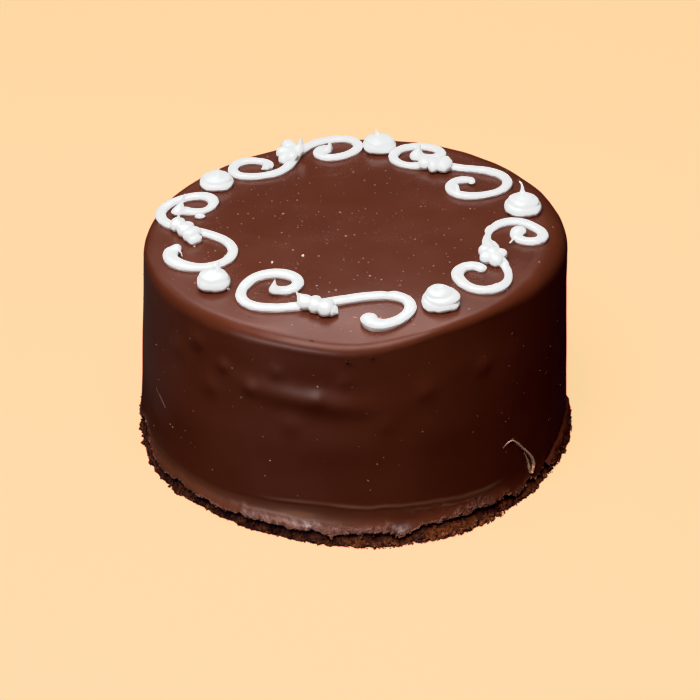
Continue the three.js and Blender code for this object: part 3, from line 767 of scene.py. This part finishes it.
def crumb_foot():
    columns = 1792
    rings = [ring(56, lambda a: (0.5 * RADIUS, 0.0)), ring(columns, lambda a: (crumb_radius(a, np.zeros_like(a)) - 1.2, 0.0))]
    for z in np.concatenate([[0.05, 0.35], np.arange(0.8, 10.4, 0.52)]):
        rings.append(ring(columns, lambda a: (crumb_radius(a, np.full(a.shape, z)) - (0.5 if z < 0.1 else 0), z + 0.0 * a)))
    for z in np.arange(11.0, 19.5, 2.0):
        rings.append(ring(448, lambda a: (np.minimum(crumb_radius(a, np.full(a.shape, z)), skin_radius(a, np.full(a.shape, z)) - 2.0), z + 0.0 * a)))
    rings.append(ring(56, lambda a: (0.5 * RADIUS, 19.6)))
    points, faces = rings_mesh(rings, (0, 0, 0), (0, 0, 19.6))
    return make("crumb_ring", points, faces, CRUMB, ["crumb_foot"])


# ---- small loose things, joined into one mesh for each kind -----------------------------
def ball(rows, columns):
    t = np.linspace(0, np.pi, rows + 1)[1:-1]
    a = 2 * np.pi * np.arange(columns) / columns
    rings = [np.stack([np.sin(v) * np.cos(a), np.sin(v) * np.sin(a), np.full(columns, -np.cos(v))], 1) for v in t]
    return rings_mesh(rings, (0, 0, -1), (0, 0, 1))


def scatter(name, shapes, material):
    points, faces, base = [], [], 0
    for p, f in shapes:
        points.append(p)
        faces += [tuple(base + i for i in face) for face in f]
        base += len(p)
    return make(name, np.concatenate(points), faces, material)


BIT, BIT_FACES = ball(6, 9)


def bit(x, y, z, size, seed, stretch=None, yaw=None):
    """A rough little lump; it is turned any way unless a yaw is given."""
    p = BIT * (1 + 0.38 * noise(BIT[:, 0], BIT[:, 1], BIT[:, 2] + 3.1 * seed, 0.62, 81))[:, None]
    spins = RNG.uniform(0, 6.28, 2)
    sizes = RNG.uniform(0.55, 1.25, 3)
    if yaw is None:
        turned = np.array(Matrix.Rotation(spins[0], 3, "X") @ Matrix.Rotation(spins[1], 3, "Z"))
    else:
        turned, sizes = np.array(Matrix.Rotation(yaw, 3, "Z")), np.array(stretch)
    p = (p * sizes * size) @ turned.T + (x, y, z)
    p[:, 2] = np.maximum(p[:, 2], 0.03)  # flat where it rests
    return p, BIT_FACES


def crumbs():
    shapes = []
    for n in range(620):  # on the bare crumb
        a = RNG.uniform(-np.pi, np.pi)
        aa = np.array([a])
        lip = float(lip_height(aa)[0])
        size = float(RNG.choice([0.28, 0.4, 0.55, 0.8, 1.1], p=[0.28, 0.3, 0.22, 0.14, 0.06]))
        z = max(RNG.uniform(size * 0.7, max(size * 0.8, min(lip, 6) - 1.0)), size * 1.25)
        r = float(crumb_radius(aa, np.array([z]))[0]) + 0.2 * size
        shapes.append(bit(r * math.cos(a), r * math.sin(a), z, size, n))
    for n in range(230):  # fallen round the foot, most of them at the front right
        a = RNG.normal(-72, 13) * DEG if n < 150 else RNG.uniform(-np.pi, np.pi)
        size = float(RNG.choice([0.3, 0.45, 0.65, 0.9, 1.3], p=[0.3, 0.28, 0.22, 0.14, 0.06]))
        r = float(along(CRUMB_OUT, np.array([a]))[0]) + RNG.uniform(-0.8, 0.9 if n < 150 else 0.1)
        shapes.append(bit(r * math.cos(a), r * math.sin(a), size * RNG.uniform(1.05, 1.5), size, 700 + n))
    for n, (deg, r, long, yaw) in enumerate(((-86.6, 110.4, 3.4, -50), (-85.2, 110.8, 2.8, -52), (-83.6, 110.9, 3.6, -54), (-82.2, 111.0, 3.2, -50),
                                             (-80.7, 110.8, 3.4, -48), (-79.2, 110.4, 2.6, -42), (-88.6, 110.6, 2.2, -30))):
        a = deg * DEG  # crumb dragged into ridges
        shapes.append(bit(r * math.cos(a), r * math.sin(a), 1.5, 1.0, 950 + n, (long * 0.62, 0.75, 1.05), yaw * DEG))
    for n in range(46):  # on the run-out foot at the right
        a = RNG.uniform(-29, 4) * DEG
        aa = np.array([a])
        size = float(RNG.choice([0.25, 0.4, 0.6]))
        z = RNG.uniform(0.8, 6.0)
        r = float(skin_radius(aa, np.array([max(z, 2.0)]))[0]) + 0.1 * size
        shapes.append(bit(r * math.cos(a), r * math.sin(a), max(z, size * 1.25), size, 1000 + n))
    return scatter("crumb_bits", shapes, BITS)


def shreds():
    """Flakes of icing that hang on the torn edge."""
    shapes = []
    for n in range(420):
        a = RNG.uniform(-np.pi, np.pi)
        aa = np.array([a])
        lip, worn = float(lip_height(aa)[0]), float(along(WORN, aa)[0])
        size = float(RNG.choice([0.26, 0.38, 0.55, 0.75], p=[0.36, 0.34, 0.2, 0.1]))
        z = lip + RNG.uniform(-0.25, 0.75 * worn)
        r = float(skin_radius(aa, np.array([z]))[0]) - RNG.uniform(0.0, 0.5) * size
        shapes.append(bit(r * math.cos(a), r * math.sin(a), max(z, size * 1.2), size, n, RNG.uniform((0.8, 0.5, 0.35), (2.2, 0.8, 0.7)), a + RNG.normal(np.pi / 2, 0.35)))
    for n, (deg, up, long, wide) in enumerate(((-82.0, 0.4, 1.9, 0.8), (-84.2, 0.5, 2.0, 0.7), (-85.9, 0.2, 1.3, 0.6), (-91.2, 1.0, 1.4, 0.7), (-101.1, 0.4, 1.5, 0.6),
                                               (-96.5, 0.6, 1.2, 0.9), (-80.4, 0.5, 1.8, 0.9), (-55.3, 1.7, 1.5, 0.8), (-59.3, 2.2, 1.3, 0.8), (-46.4, 0.6, 1.6, 0.7),
                                               (-62.6, 1.2, 1.3, 0.7), (-36.9, 0.2, 1.2, 0.8), (-34.9, 0.4, 1.3, 0.7), (-160.6, 0.0, 1.2, 0.9), (-156.6, 0.0, 1.1, 0.8))):
        a = deg * DEG
        aa = np.array([a])
        z = float(lip_height(aa)[0]) + up
        r = float(skin_radius(aa, np.array([z]))[0]) + 0.1
        shapes.append(bit(r * math.cos(a), r * math.sin(a), z, 1.0, 500 + n, (long, 0.5, wide), a + np.pi / 2 + 0.15))
    return scatter("icing_shreds", shapes, SHRED)


def on_top(x, y):
    return float(skin_top(np.array(float(x)), np.array(float(y))))


def bubbles():
    p0, f0 = ball(6, 10)
    shapes = []

    def dome(x, y, r, high):
        shapes.append((p0 * (r, r * RNG.uniform(0.8, 1.15), high) + (x, y, on_top(x, y)), f0))

    for x, y, r in ((-35.1, 16.6, 0.62), (-4.6, -7.3, 0.72), (6.7, -46.1, 0.62), (-8.8, -58.0, 0.6), (-29.3, -19.6, 0.58)):
        dome(x, y, r, 0.32)
    for n in range(460):
        a, r = RNG.uniform(-np.pi, np.pi), 95 * math.sqrt(RNG.uniform(0, 1))
        size = float(RNG.choice([0.18, 0.26, 0.36, 0.48], p=[0.42, 0.32, 0.19, 0.07]))
        dome(r * math.cos(a), r * math.sin(a), size, 0.45 * size)
    for n in range(190):  # and a few on the side
        a, z = RNG.uniform(-np.pi, np.pi), RNG.uniform(22, 92)
        r = float(skin_radius(np.array([a]), np.array([z]))[0])
        size = float(RNG.choice([0.2, 0.3, 0.42], p=[0.55, 0.33, 0.12]))
        p = p0 * (0.4 * size, size, size)
        c, s = math.cos(a), math.sin(a)
        shapes.append((p @ np.array([[c, s, 0], [-s, c, 0], [0, 0, 1]]) + (r * c, r * s, z), f0))
    scatter("icing_bubbles", shapes, PALE_SPECK_AND_HIGHLIGHT)
    shapes.clear()
    for deg, far, size in PITS:  # burst ones left little hollows, drawn as low domes painted dark: painted shade of the hollows
        high = 0.12 if far < 99 else 0.5 * size  # they follow the steep shoulder
        dome(far * math.cos(deg * DEG), far * math.sin(deg * DEG), size, high)
        dome((far + 0.5) * math.cos(deg * DEG + 0.013), (far + 0.5) * math.sin(deg * DEG + 0.013), 0.6 * size, high + 0.04)
    scatter("icing_pits", shapes, PIT_SHADE)


def flecks():
    p0, f0 = ball(8, 14)
    shapes = []
    wob = 1 + 0.12 * noise(p0[:, 0], p0[:, 1], p0[:, 2], 0.8, 91)
    shapes.append((p0 * wob[:, None] * (2.55, 1.55, 1.35) + (-75.2, 14.3, on_top(-75.2, 14.3) + 1.05), f0))
    p1, f1 = ball(6, 10)
    for n, (x, y, r) in enumerate(((-76.0, -13.9, 0.6), (-57.8, -55.2, 0.8), (-24.5, -25.6, 0.8), (-38.7, -31.3, 0.75), (-17.5, -53.9, 0.5))):
        wob = 1 + 0.25 * noise(p1[:, 0], p1[:, 1], p1[:, 2] + n, 0.8, 92)
        shapes.append((p1 * wob[:, None] * (r, r * 0.85, r * 0.7) + (x, y, on_top(x, y) + 0.35 * r), f1))
    return scatter("white_flecks", shapes, WHITE)


def threads(name, lines, material):
    """Thin raised threads of icing on the side, each through places (angle, height) with radii in mm."""
    shapes = []
    for places, radii, proud in lines:
        t = np.linspace(0, len(places) - 1, 14 * (len(places) - 1) + 1)
        pl = np.array(places, float)
        ang, z = _spline(pl[:, 0], t) * DEG, _spline(pl[:, 1], t)
        rad = np.interp(t, np.arange(len(radii)), radii)
        r = skin_radius(ang, z) + proud * rad
        mid = np.stack([r * np.cos(ang), r * np.sin(ang), z], 1)
        ahead = np.gradient(mid, axis=0)
        ahead /= np.linalg.norm(ahead, axis=1)[:, None]
        out = np.stack([np.cos(ang), np.sin(ang), 0 * ang], 1)
        across = np.cross(ahead, out)
        across /= np.linalg.norm(across, axis=1)[:, None]
        out = np.cross(across, ahead)
        b = 2 * np.pi * np.arange(10) / 10
        rings = [mid[i] + rad[i] * (np.cos(b)[:, None] * across[i] + 0.8 * np.sin(b)[:, None] * out[i]) for i in range(len(t))]
        shapes.append(rings_mesh([v[::-1] for v in rings], mid[0] - ahead[0] * rad[0] * 0.5, mid[-1] + ahead[-1] * rad[-1] * 0.5))
    return scatter(name, shapes, material)


def ridges():
    # the drip ridge carries the pale painted-highlight colour
    threads("icing_drip_highlight", [
        ([(-48.0, 32.4), (-47.2, 33.5), (-46.0, 34.2), (-44.4, 33.9), (-42.5, 30.8), (-40.5, 26.7), (-38.2, 21.9), (-36.3, 17.3),
          (-35.4, 13.3), (-35.7, 10.6), (-36.3, 8.6)], [0.06, 0.16, 0.32, 0.46, 0.54, 0.60, 0.70, 0.86, 1.0, 0.95, 0.6], 0.25),
        ([(-39.6, 23.2), (-38.7, 20.2), (-38.0, 17.4), (-37.6, 15.0), (-37.3, 12.5), (-36.9, 9.3)], [0.10, 0.34, 0.5, 0.6, 0.75, 0.6], 0.08)], DRIP_HIGHLIGHT)
    # the scratch lines take the pale speck colour: a painted highlight on the raised crease
    threads("icing_scratch", [
        ([(-153.4, 45.2), (-151.8, 43.9), (-150.2, 42.6)], [0.04, 0.10, 0.04], -0.1),
        ([(-151.0, 43.6), (-149.2, 41.8), (-147.2, 40.0)], [0.04, 0.12, 0.04], -0.1)], PALE_SPECK_AND_HIGHLIGHT)


# ---- white piping -----------------------------------------------------------------------
def total(scroll):
    return scroll["length"] + scroll.get("longer", (0.0, 0.0))[0]


def stroke(scroll, steps=400):
    (x, y), h, bend = scroll["start"], scroll["heading"], scroll["bend"]
    step = total(scroll) / steps
    line = [(x, y, h, 0.0)]
    for i in range(steps):
        u = (i + 0.5) * step
        curved = np.interp(u / scroll["length"] * (len(bend) - 1), np.arange(len(bend)), bend)
        if u > scroll["length"]:
            curved = scroll["longer"][1]
        turned = curved * step
        x, y = x + math.cos(h + turned / 2) * step, y + math.sin(h + turned / 2) * step
        h += turned
        line.append((x, y, h, (i + 1) * step))
    line = np.array(line)
    off = np.interp(line[:, 3], *np.array(scroll["aside"], float).T)
    for _ in range(2):
        off = np.convolve(np.pad(off, 8, mode="edge"), np.full(17, 1 / 17), mode="valid")
    return np.stack([line[:, 0] - off * np.sin(line[:, 2]), line[:, 1] + off * np.cos(line[:, 2]), line[:, 3]], 1)


def rope_width(scroll, u):
    """Half the rope's width at a place along the stroke."""
    first, mid, end = scroll["rope"]
    w = mid + (first - mid) * np.exp(-((u / 11) ** 2)) + (end - mid) * np.exp(-(((total(scroll) - u) / 12) ** 2))
    for at, reach, change in scroll.get("uneven", ()):
        w = w + change * np.exp(-(((u - at) / reach) ** 2))
    return w


def ribbon(across, rise, wide, high, n=2.5):
    """Distance to a rope with a rounded, flattened cross-section."""
    p, q = np.abs(across) / wide, np.abs(rise) / high
    k = np.maximum((p**n + q**n) ** (1 / n), 1e-3)
    slope = k ** (1 - n) * np.sqrt((p ** (n - 1) / wide) ** 2 + (q ** (n - 1) / high) ** 2)
    return (k - 1) / np.maximum(slope, 0.15)


def rope(name, cell, extra):
    scroll = SCROLLS[name]
    line = stroke(scroll)
    length = total(scroll)
    r0, r1 = (float(rope_width(scroll, v)) for v in (0.0, length))
    body = line[(line[:, 2] >= 0.9 * r0) & (line[:, 2] <= length - 0.9 * r1)][::2]
    ground = top_height(line[:, 0], line[:, 1])
    low = (line[:, 0].min() - 7, line[:, 1].min() - 7, ground.min() - 2)
    high = (line[:, 0].max() + 7, line[:, 1].max() + 7, ground.max() + 12)
    field = Field(low, high, cell)
    x, y = np.meshgrid(field.axes[0], field.axes[1], indexing="ij")
    best, place, side = np.full(x.shape, 1e9), np.zeros(x.shape), np.zeros(x.shape)
    for (x0, y0, u0), (x1, y1, u1) in zip(body, body[1:]):
        dx, dy = x1 - x0, y1 - y0
        t = np.clip(((x - x0) * dx + (y - y0) * dy) / (dx * dx + dy * dy), 0, 1)
        px, py = x - x0 - t * dx, y - y0 - t * dy
        d = px * px + py * py
        near = d < best
        best[near], place[near] = d[near], (u0 + t * (u1 - u0))[near]
        side[near] = (dx * py - dy * px)[near]
    seed = 100 + 7 * list(SCROLLS).index(name)
    width = rope_width(scroll, place) * (1 + 0.04 * noise(place, 0, 0, 13, seed) + 0.02 * noise(place, 0, 0, 4.5, seed + 1))
    across = np.where(side < 0, -1, 1) * np.sqrt(best)
    half = ROPE_FLAT * width * (1 + 0.06 * noise(place, 0, 5, 17, seed + 5))
    gz = field.axes[2][None, None, :]
    lies = np.interp(place, line[:, 2], ground)
    half, width, across = half[:, :, None], width[:, :, None], across[:, :, None]
    rise = gz - (lies + 0.9 * half[:, :, 0])[:, :, None]
    groove = 0.05 * np.cos(6 * np.arctan2(rise / half, across / width) + 1.3 * noise(place, 0, 0, 40, seed + 2)[:, :, None])
    rise = np.where(rise < 0, np.maximum(0.62 * rise, -0.62 * half), rise)  # the foot spreads down to the icing
    field.f = ribbon(across, rise, width, half) - groove
    extra(field)
    field.crumple(5.0, 0.08, seed + 3)
    field.crumple(1.5, 0.04, seed + 4)
    points, faces = field.surface()
    return make(f"piped_scroll_{name}", points, faces, WHITE, [f"scroll_{name}"])


def scroll_left(f):
    f.lump(-86.0, 19.3, 1.6, 40, 3.5, 3.1, 2.0, 1.8)
    f.thread([(-85.4, 19.7, 3.0), (-84.3, 20.4, 5.4), (-83.3, 20.9, 7.9), (-82.4, 21.2, 10.5)], [1.9, 1.1, 0.6, 0.16], 1.6)
    f.lump(-84.0, -18.9, 2.0, 60, 2.6, 2.5, 2.1, 1.4)
    f.thread([(-82.9, -20.6, 2.8), (-82.2, -22.2, 2.6), (-81.4, -23.3, 2.0), (-81.0, -24.2, 0.7)], [0.7, 0.5, 0.42, 0.35], 0.6)


def scroll_back_left(f):
    f.thread([(-14.5, 80.2, 1.9), (-13.7, 79.9, 3.8), (-13.2, 79.8, 5.7), (-12.9, 79.8, 7.7)], [2.4, 1.5, 0.8, 0.16], 1.5)
    f.thread([(-44.6, 63.4, 1.6), (-46.4, 63.2, 1.3), (-47.6, 63.3, 0.9)], [1.5, 0.9, 0.3], 0.8)


def scroll_back_right(f):
    f.lump(30.6, 70.3, 1.8, -50, 3.9, 3.5, 2.3, 1.8)
    f.thread([(30.6, 70.3, 2.8), (31.2, 70.6, 4.8), (31.8, 70.8, 7.2), (32.4, 70.8, 9.5)], [2.8, 1.6, 0.75, 0.16], 1.6)
    f.lump(57.2, 41.4, 1.5, 40, 1.7, 1.5, 1.2, 1.8)
    f.lump(49.2, 33.6, 2.5, -78, 3.4, 1.5, 1.5, 0.5, 0.25)


def scroll_right(f):
    f.lump(77.2, -11.0, 1.7, 50, 3.4, 3.0, 2.1, 1.8)
    f.thread([(75.0, -16.8, 2.2), (73.6, -18.8, 1.9), (72.0, -20.9, 1.3)], [0.75, 0.55, 0.45], 0.6)
    f.lump(62.7, -7.0, 1.3, 62, 3.2, 1.2, 1.3, 1.0)


def scroll_front(f):
    f.lump(-36.2, -60.0, 1.6, -30, 2.9, 2.7, 2.0, 1.8)
    f.thread([(-36.8, -60.3, 2.9), (-36.7, -60.1, 4.6), (-36.4, -60.0, 6.4), (-36.2, -60.0, 8.3)], [1.8, 1.1, 0.55, 0.15], 1.5)


def bow(name, middle, lay):
    g = float(top_height(*middle))
    field = Field((middle[0] - 14, middle[1] - 14, g - 3.5), (middle[0] + 14, middle[1] + 14, g + 14.5), 0.25)
    lay(field)
    seed = 200 + 5 * list(SCROLLS).index(name)
    field.crumple(3.6, 0.12, seed)
    field.crumple(1.2, 0.04, seed + 1)
    points, faces = field.surface()
    return make(f"piped_bow_{name}", points, faces, WHITE, [f"bow_{name}"])


def bow_left(f):
    f.shell(-85.0, 3.9, 2.7, 81, 4.9, 3.1, 3.2, 0)
    f.shell(-80.6, -1.2, 2.9, 67, 5.5, 3.1, 3.4, 0.8, 0.12)
    f.shell(-77.4, -6.2, 2.8, 57, 5.7, 2.9, 3.3, 0.8, 0.12)
    f.shell(-76.1, -9.9, 1.9, 34, 3.9, 2.4, 2.4, 0.7)
    f.thread([(-84.8, 4.5, 4.8), (-84.4, 4.2, 6.6), (-84.0, 3.8, 8.7)], [1.5, 0.7, 0.16], 1.0)


def bow_back_left(f):
    f.shell(-33.0, 75.8, 2.4, 120, 5.2, 4.2, 2.8, 0)
    f.shell(-34.1, 79.8, 5.0, 125, 4.2, 2.9, 3.2, 0.7, -0.1)
    f.shell(-36.3, 75.8, 3.6, 168, 4.4, 2.6, 2.9, 0.7, -0.1)
    f.shell(-35.0, 71.2, 2.8, 40, 4.8, 2.5, 2.8, 0.7)
    f.thread([(-35.4, 71.0, 2.3), (-36.9, 70.0, 1.6), (-38.2, 69.4, 0.9)], [1.9, 1.2, 0.35], 0.6)
    f.shell(-31.6, 71.8, 3.1, 74, 3.6, 2.0, 2.6, 0.7)
    f.thread([(-28.9, 77.0, 3.8), (-28.3, 78.1, 6.0), (-27.9, 78.3, 8.8), (-27.7, 78.1, 12.0)], [2.6, 1.75, 0.85, 0.16], 1.0)


def bow_back_right(f):
    f.shell(34.6, 62.0, 2.7, 72, 4.8, 2.8, 3.1, 0)
    f.shell(38.5, 58.6, 2.9, 89, 5.9, 2.6, 3.3, 0.7, -0.14)
    f.shell(43.9, 58.0, 2.9, 76, 5.6, 3.3, 3.3, 0.7, -0.14)
    f.shell(45.2, 65.6, 2.2, 10, 2.2, 1.8, 2.0, 0.6)


def bow_right(f):
    f.shell(63.3, -33.6, 3.1, 60, 3.5, 2.9, 3.2, 0)
    f.shell(60.4, -30.8, 2.9, 140, 3.8, 2.6, 3.0, 0.7, -0.1)
    f.shell(60.9, -35.9, 2.7, 50, 4.4, 2.9, 3.0, 0.7)
    f.shell(64.4, -38.4, 2.7, 92, 4.7, 2.9, 3.0, 0.7)
    f.shell(66.7, -34.0, 2.7, 150, 3.5, 2.5, 2.9, 0.7)
    f.thread([(62.6, -20.6, 2.6), (64.2, -24.6, 3.3), (65.5, -28.6, 3.7), (65.4, -31.0, 3.8)], [0.6, 0.95, 0.9, 1.1], 0.5)


def bow_front(f):
    f.shell(-22.5, -72.2, 2.7, 79, 4.5, 2.9, 3.1, 0)
    f.shell(-17.8, -74.0, 2.9, 87, 5.5, 2.8, 3.4, 0.8, 0.1)
    f.shell(-12.9, -76.3, 2.9, 78, 5.9, 3.0, 3.4, 0.8, 0.1)
    f.shell(-10.2, -77.9, 2.0, 60, 3.4, 1.8, 2.4, 0.7)
    f.thread([(-10.4, -78.0, 2.0), (-9.0, -78.6, 1.8), (-7.6, -79.1, 1.3)], [2.1, 1.3, 0.25], 0.5)
    f.thread([(-24.2, -70.9, 4.1), (-25.5, -71.2, 5.9), (-26.7, -71.8, 8.1)], [1.7, 0.85, 0.18], 1.2)


def dot(name, n, tip, rolls, squash=(1.0, 1.0), yaw=0.0, lobes=()):
    """A piped dot: rolls of icing laid over each other, each (dx, dy, share of radius, share of height, thickness)."""
    (cx, cy), r, high = DOTS[name]["at"], DOTS[name]["radius"], DOTS[name]["high"]
    g = float(top_height(cx, cy))
    field = Field((cx - r - 3, cy - r - 3, g - 3), (cx + r + 3, cy + r + 3, g + high + 9), 0.28)
    for k, (dx, dy, share, up, thick) in enumerate(rolls):
        field.lump(cx + dx, cy + dy, up * high, yaw + 25 * k, share * r * squash[0], share * r * squash[1], thick * high, 0 if k == 0 else 0.35, n=2.35)
    gx, gy, gz = field.cells()
    angle = np.arctan2(gy - cy, gx - cx)
    up = (gz - field.floor[:, :, None]) / high
    out = np.hypot(gx - cx, gy - cy) / r
    scallop = sum(w * np.abs(np.sin(0.5 * k * angle + s)) for k, s, w in lobes)
    field.f -= scallop * (1 - smooth(up, 0.12, 0.5)) * smooth(out, 0.4, 0.8)
    swirl = np.sin(9.5 * out + 1.0 * angle + 2.1 * n)  # the turn of the tip left on the top
    field.f -= 0.13 * swirl * smooth(up, 0.62, 0.85) * (1 - smooth(out, 0.72, 0.95))
    points, radii = tip
    field.thread([(cx + x, cy + y, h) for x, y, h in points], radii, 1.0)
    field.crumple(4.0, 0.12, 300 + n)
    field.crumple(1.2, 0.035, 310 + n)
    points, faces = field.surface()
    return make(f"piped_dot_{name}", points, faces, WHITE, [f"dot_{name}"])


icing()
crumb_foot()
crumbs()
shreds()
bubbles()
flecks()
ridges()
for name, extra in (("left", scroll_left), ("back_left", scroll_back_left), ("back_right", scroll_back_right),
                    ("right", scroll_right), ("front", scroll_front)):
    rope(name, 0.345, extra)
for name, middle, lay in (("left", (-80.5, -1.5), bow_left), ("back_left", (-33, 75), bow_back_left), ("back_right", (40.5, 62), bow_back_right),
                          ("right", (64, -31.5), bow_right), ("front", (-16.5, -75), bow_front)):
    bow(name, middle, lay)
LOW_ROLLS = ((0, 0, 1.0, 0.36, 0.46), (0.1, 0.35, 0.86, 0.64, 0.36))
ROLLS = ((0, 0, 1.0, 0.30, 0.42), (0.2, 0.5, 0.82, 0.62, 0.31), (0.4, 0.9, 0.48, 0.85, 0.17))
dot("left_back", 0, ([(0.3, 1.2, 5.2), (0.7, 2.0, 6.6), (1.1, 2.6, 8.0)], [1.1, 0.6, 0.2]), ROLLS, lobes=((5, 0.4, 0.25), (11, 1.0, 0.12)))
dot("back", 1, ([(-0.4, 1.8, 5.6), (-1.0, 2.6, 7.4), (-2.0, 3.4, 9.5)], [1.7, 0.95, 0.25]), LOW_ROLLS, lobes=((7, 0.2, 0.28), (13, 0.6, 0.14)))
dot("right", 2, ([(-0.4, 2.6, 6.4), (-0.3, 4.0, 8.2), (-0.3, 5.2, 9.8), (-0.8, 6.4, 11.4), (-1.9, 7.2, 12.3)], [1.9, 1.15, 0.7, 0.45, 0.22]), ROLLS,
    lobes=((6, 0.9, 0.28), (13, 0.3, 0.14)))
dot("front_right", 3, ([(0.3, 2.2, 5.4), (0.5, 3.2, 6.5), (0.7, 4.0, 7.5)], [1.5, 0.9, 0.3]),
    ((0, 0.2, 0.96, 0.28, 0.40), (0.7, 0.5, 0.90, 0.54, 0.30), (-0.6, 1.1, 0.66, 0.80, 0.22)), lobes=((3, 1.9, 0.5), (7, 0.5, 0.25), (13, 0.1, 0.15)))
dot("left_front", 4, ([(1.2, 0.6, 4.4), (1.7, 1.5, 6.8), (2.0, 2.2, 9.2), (2.4, 3.0, 11.4)], [3.2, 1.9, 0.85, 0.15]), LOW_ROLLS, lobes=((5, 1.3, 0.22), (11, 0.2, 0.12)))

# ---- camera, light and floor ------------------------------------------------------------
scene = bpy.context.scene
LOOK_DOWN, ROLL, FAR, FOCUS = 31.556 * DEG, 0.522 * DEG, 1050.0, 2131.52
AIM = np.array([-2.175, -0.51, 38.484])
ahead = np.array([0, math.cos(LOOK_DOWN), -math.sin(LOOK_DOWN)])
up = np.array([0, math.sin(LOOK_DOWN), math.cos(LOOK_DOWN)])
right = np.array([1.0, 0, 0])
right, up = math.cos(ROLL) * right + math.sin(ROLL) * up, -math.sin(ROLL) * right + math.cos(ROLL) * up
camera = bpy.data.objects.new("camera", bpy.data.cameras.new("camera"))
scene.collection.objects.link(camera)
camera.data.sensor_width = 36.0
camera.data.lens = FOCUS / 700 * 36.0
camera.data.clip_start, camera.data.clip_end = 0.05, 20.0
place = Matrix.Identity(4)
for i in range(3):
    place[i][0], place[i][1], place[i][2] = right[i], up[i], -ahead[i]
    place[i][3] = (AIM[i] - FAR * ahead[i]) * MM
camera.matrix_world = place
scene.camera = camera


def softbox(name, at, aim, size, watts, colour=(1, 1, 1)):
    lamp = bpy.data.lights.new(name, "AREA")
    lamp.shape = "RECTANGLE"
    lamp.size, lamp.size_y = size
    lamp.energy = watts
    lamp.color = colour
    obj = bpy.data.objects.new(name, lamp)
    scene.collection.objects.link(obj)
    direction = np.array(aim, float) - np.array(at, float)
    obj.rotation_mode = "QUATERNION"
    obj.rotation_quaternion = Vector(direction).to_track_quat("-Z", "Y")
    obj.location = at
    obj.visible_camera = False
    return obj


key = softbox("key", (-0.195, -0.46, 1.18), (0, 0, 0.08), (0.95, 0.95), 20.0, (1.0, 0.985, 0.965))
key.visible_glossy = False
window = softbox("window", (-0.22, -0.51, 1.15), (0, 0, 0.08), (0.62, 1.0), 7.2, (1.0, 0.985, 0.97))
window.visible_diffuse = False
left = softbox("left_card", (-0.70, 0.72, 0.80), (0, 0, 0.1), (0.6, 0.6), 0.55, (1.0, 0.985, 0.97))
left.visible_diffuse = False
back = softbox("back", (-0.10, 0.58, 1.05), (0, -0.02, 0.10), (0.60, 0.70), 4.5, (1.0, 0.985, 0.97))
back.visible_diffuse = False
behind = softbox("behind", (0.10, 1.6, 0.05), (0, 0, 0.05), (1.2, 0.06), 9.0, (1.0, 0.97, 0.94))
behind.visible_glossy = False
card = softbox("front_card", (-0.76, -1.29, 0.22), (0, 0, 0.10), (1.2, 0.40), 6.4, (0.95, 0.985, 1.0))
card.visible_diffuse = False
low = softbox("low_card", (-0.30, 0.16, 0.004), (-0.30, 0.16, 1.0), (0.34, 0.40), 0.020, (1.0, 0.97, 0.90))
low.visible_diffuse = False

world = bpy.data.worlds.new("studio")
scene.world = world
world.use_nodes = True
sky = world.node_tree.nodes["Background"]
sky.inputs["Color"].default_value = (1.0, 0.78, 0.64, 1)
sky.inputs["Strength"].default_value = 0.016


def studio_floor():
    m = Nodes("pale_floor")
    where = m.coords()
    tone = m.noise(where, 3.0, 2)
    m.link(m.mix(m.span(tone, 0.3, 0.7, 0, 1), (0.165, 0.066, 0.042, 1), (0.170, 0.068, 0.043, 1)), "Base Color")
    m.set(Roughness=0.9)
    m.shader.inputs["Specular IOR Level"].default_value = 0.0
    m.shader.inputs["Emission Color"].default_value = (0.80, 0.372, 0.240, 1)
    m.shader.inputs["Emission Strength"].default_value = 1.14
    columns = 96
    a = 2 * np.pi * np.arange(columns) / columns
    outline = [(0.3, 0), (0.8, 0), (1.6, 0), (2.4, 0)]
    outline += [(2.4 + 0.9 * math.sin(t), 0.9 - 0.9 * math.cos(t)) for t in np.linspace(0.15, math.pi / 2, 12)]
    outline += [(3.3, 1.6), (3.3, 2.6)]
    points, faces = [(0, 0, 0)], [(0, 1 + j, 1 + (j + 1) % columns) for j in range(columns)]
    for r, z in outline:
        points += [(r * math.cos(v), r * math.sin(v), z) for v in a]
    for k in range(len(outline) - 1):
        s0, s1 = 1 + k * columns, 1 + (k + 1) * columns
        faces += [(s0 + j, s1 + j, s1 + (j + 1) % columns, s0 + (j + 1) % columns) for j in range(columns)]
    mesh = bpy.data.meshes.new("floor")
    mesh.from_pydata(points, [], faces)
    mesh.polygons.foreach_set("use_smooth", np.ones(len(mesh.polygons), bool))
    mesh.materials.append(m.material)
    floor = bpy.data.objects.new("floor", mesh)
    scene.collection.objects.link(floor)
    floor.visible_diffuse = False
    floor.visible_glossy = False


studio_floor()
scene.view_settings.view_transform = "Standard"
scene.view_settings.look = "None"
scene.view_settings.use_curve_mapping = True
tones = scene.view_settings.curve_mapping  # bright whites are drawn together, as in a photo
tones.black_level = (0.0028, 0.0038, 0.0020)
tones.extend = "HORIZONTAL"
curve = tones.curves[3]
for place, value in ((0.15, 0.155), (0.28, 0.335), (0.34, 0.465), (0.40, 0.595), (0.50, 0.715), (0.60, 0.765), (0.76, 0.82), (0.90, 0.87)):
    curve.points.new(place, value)
tones.update()
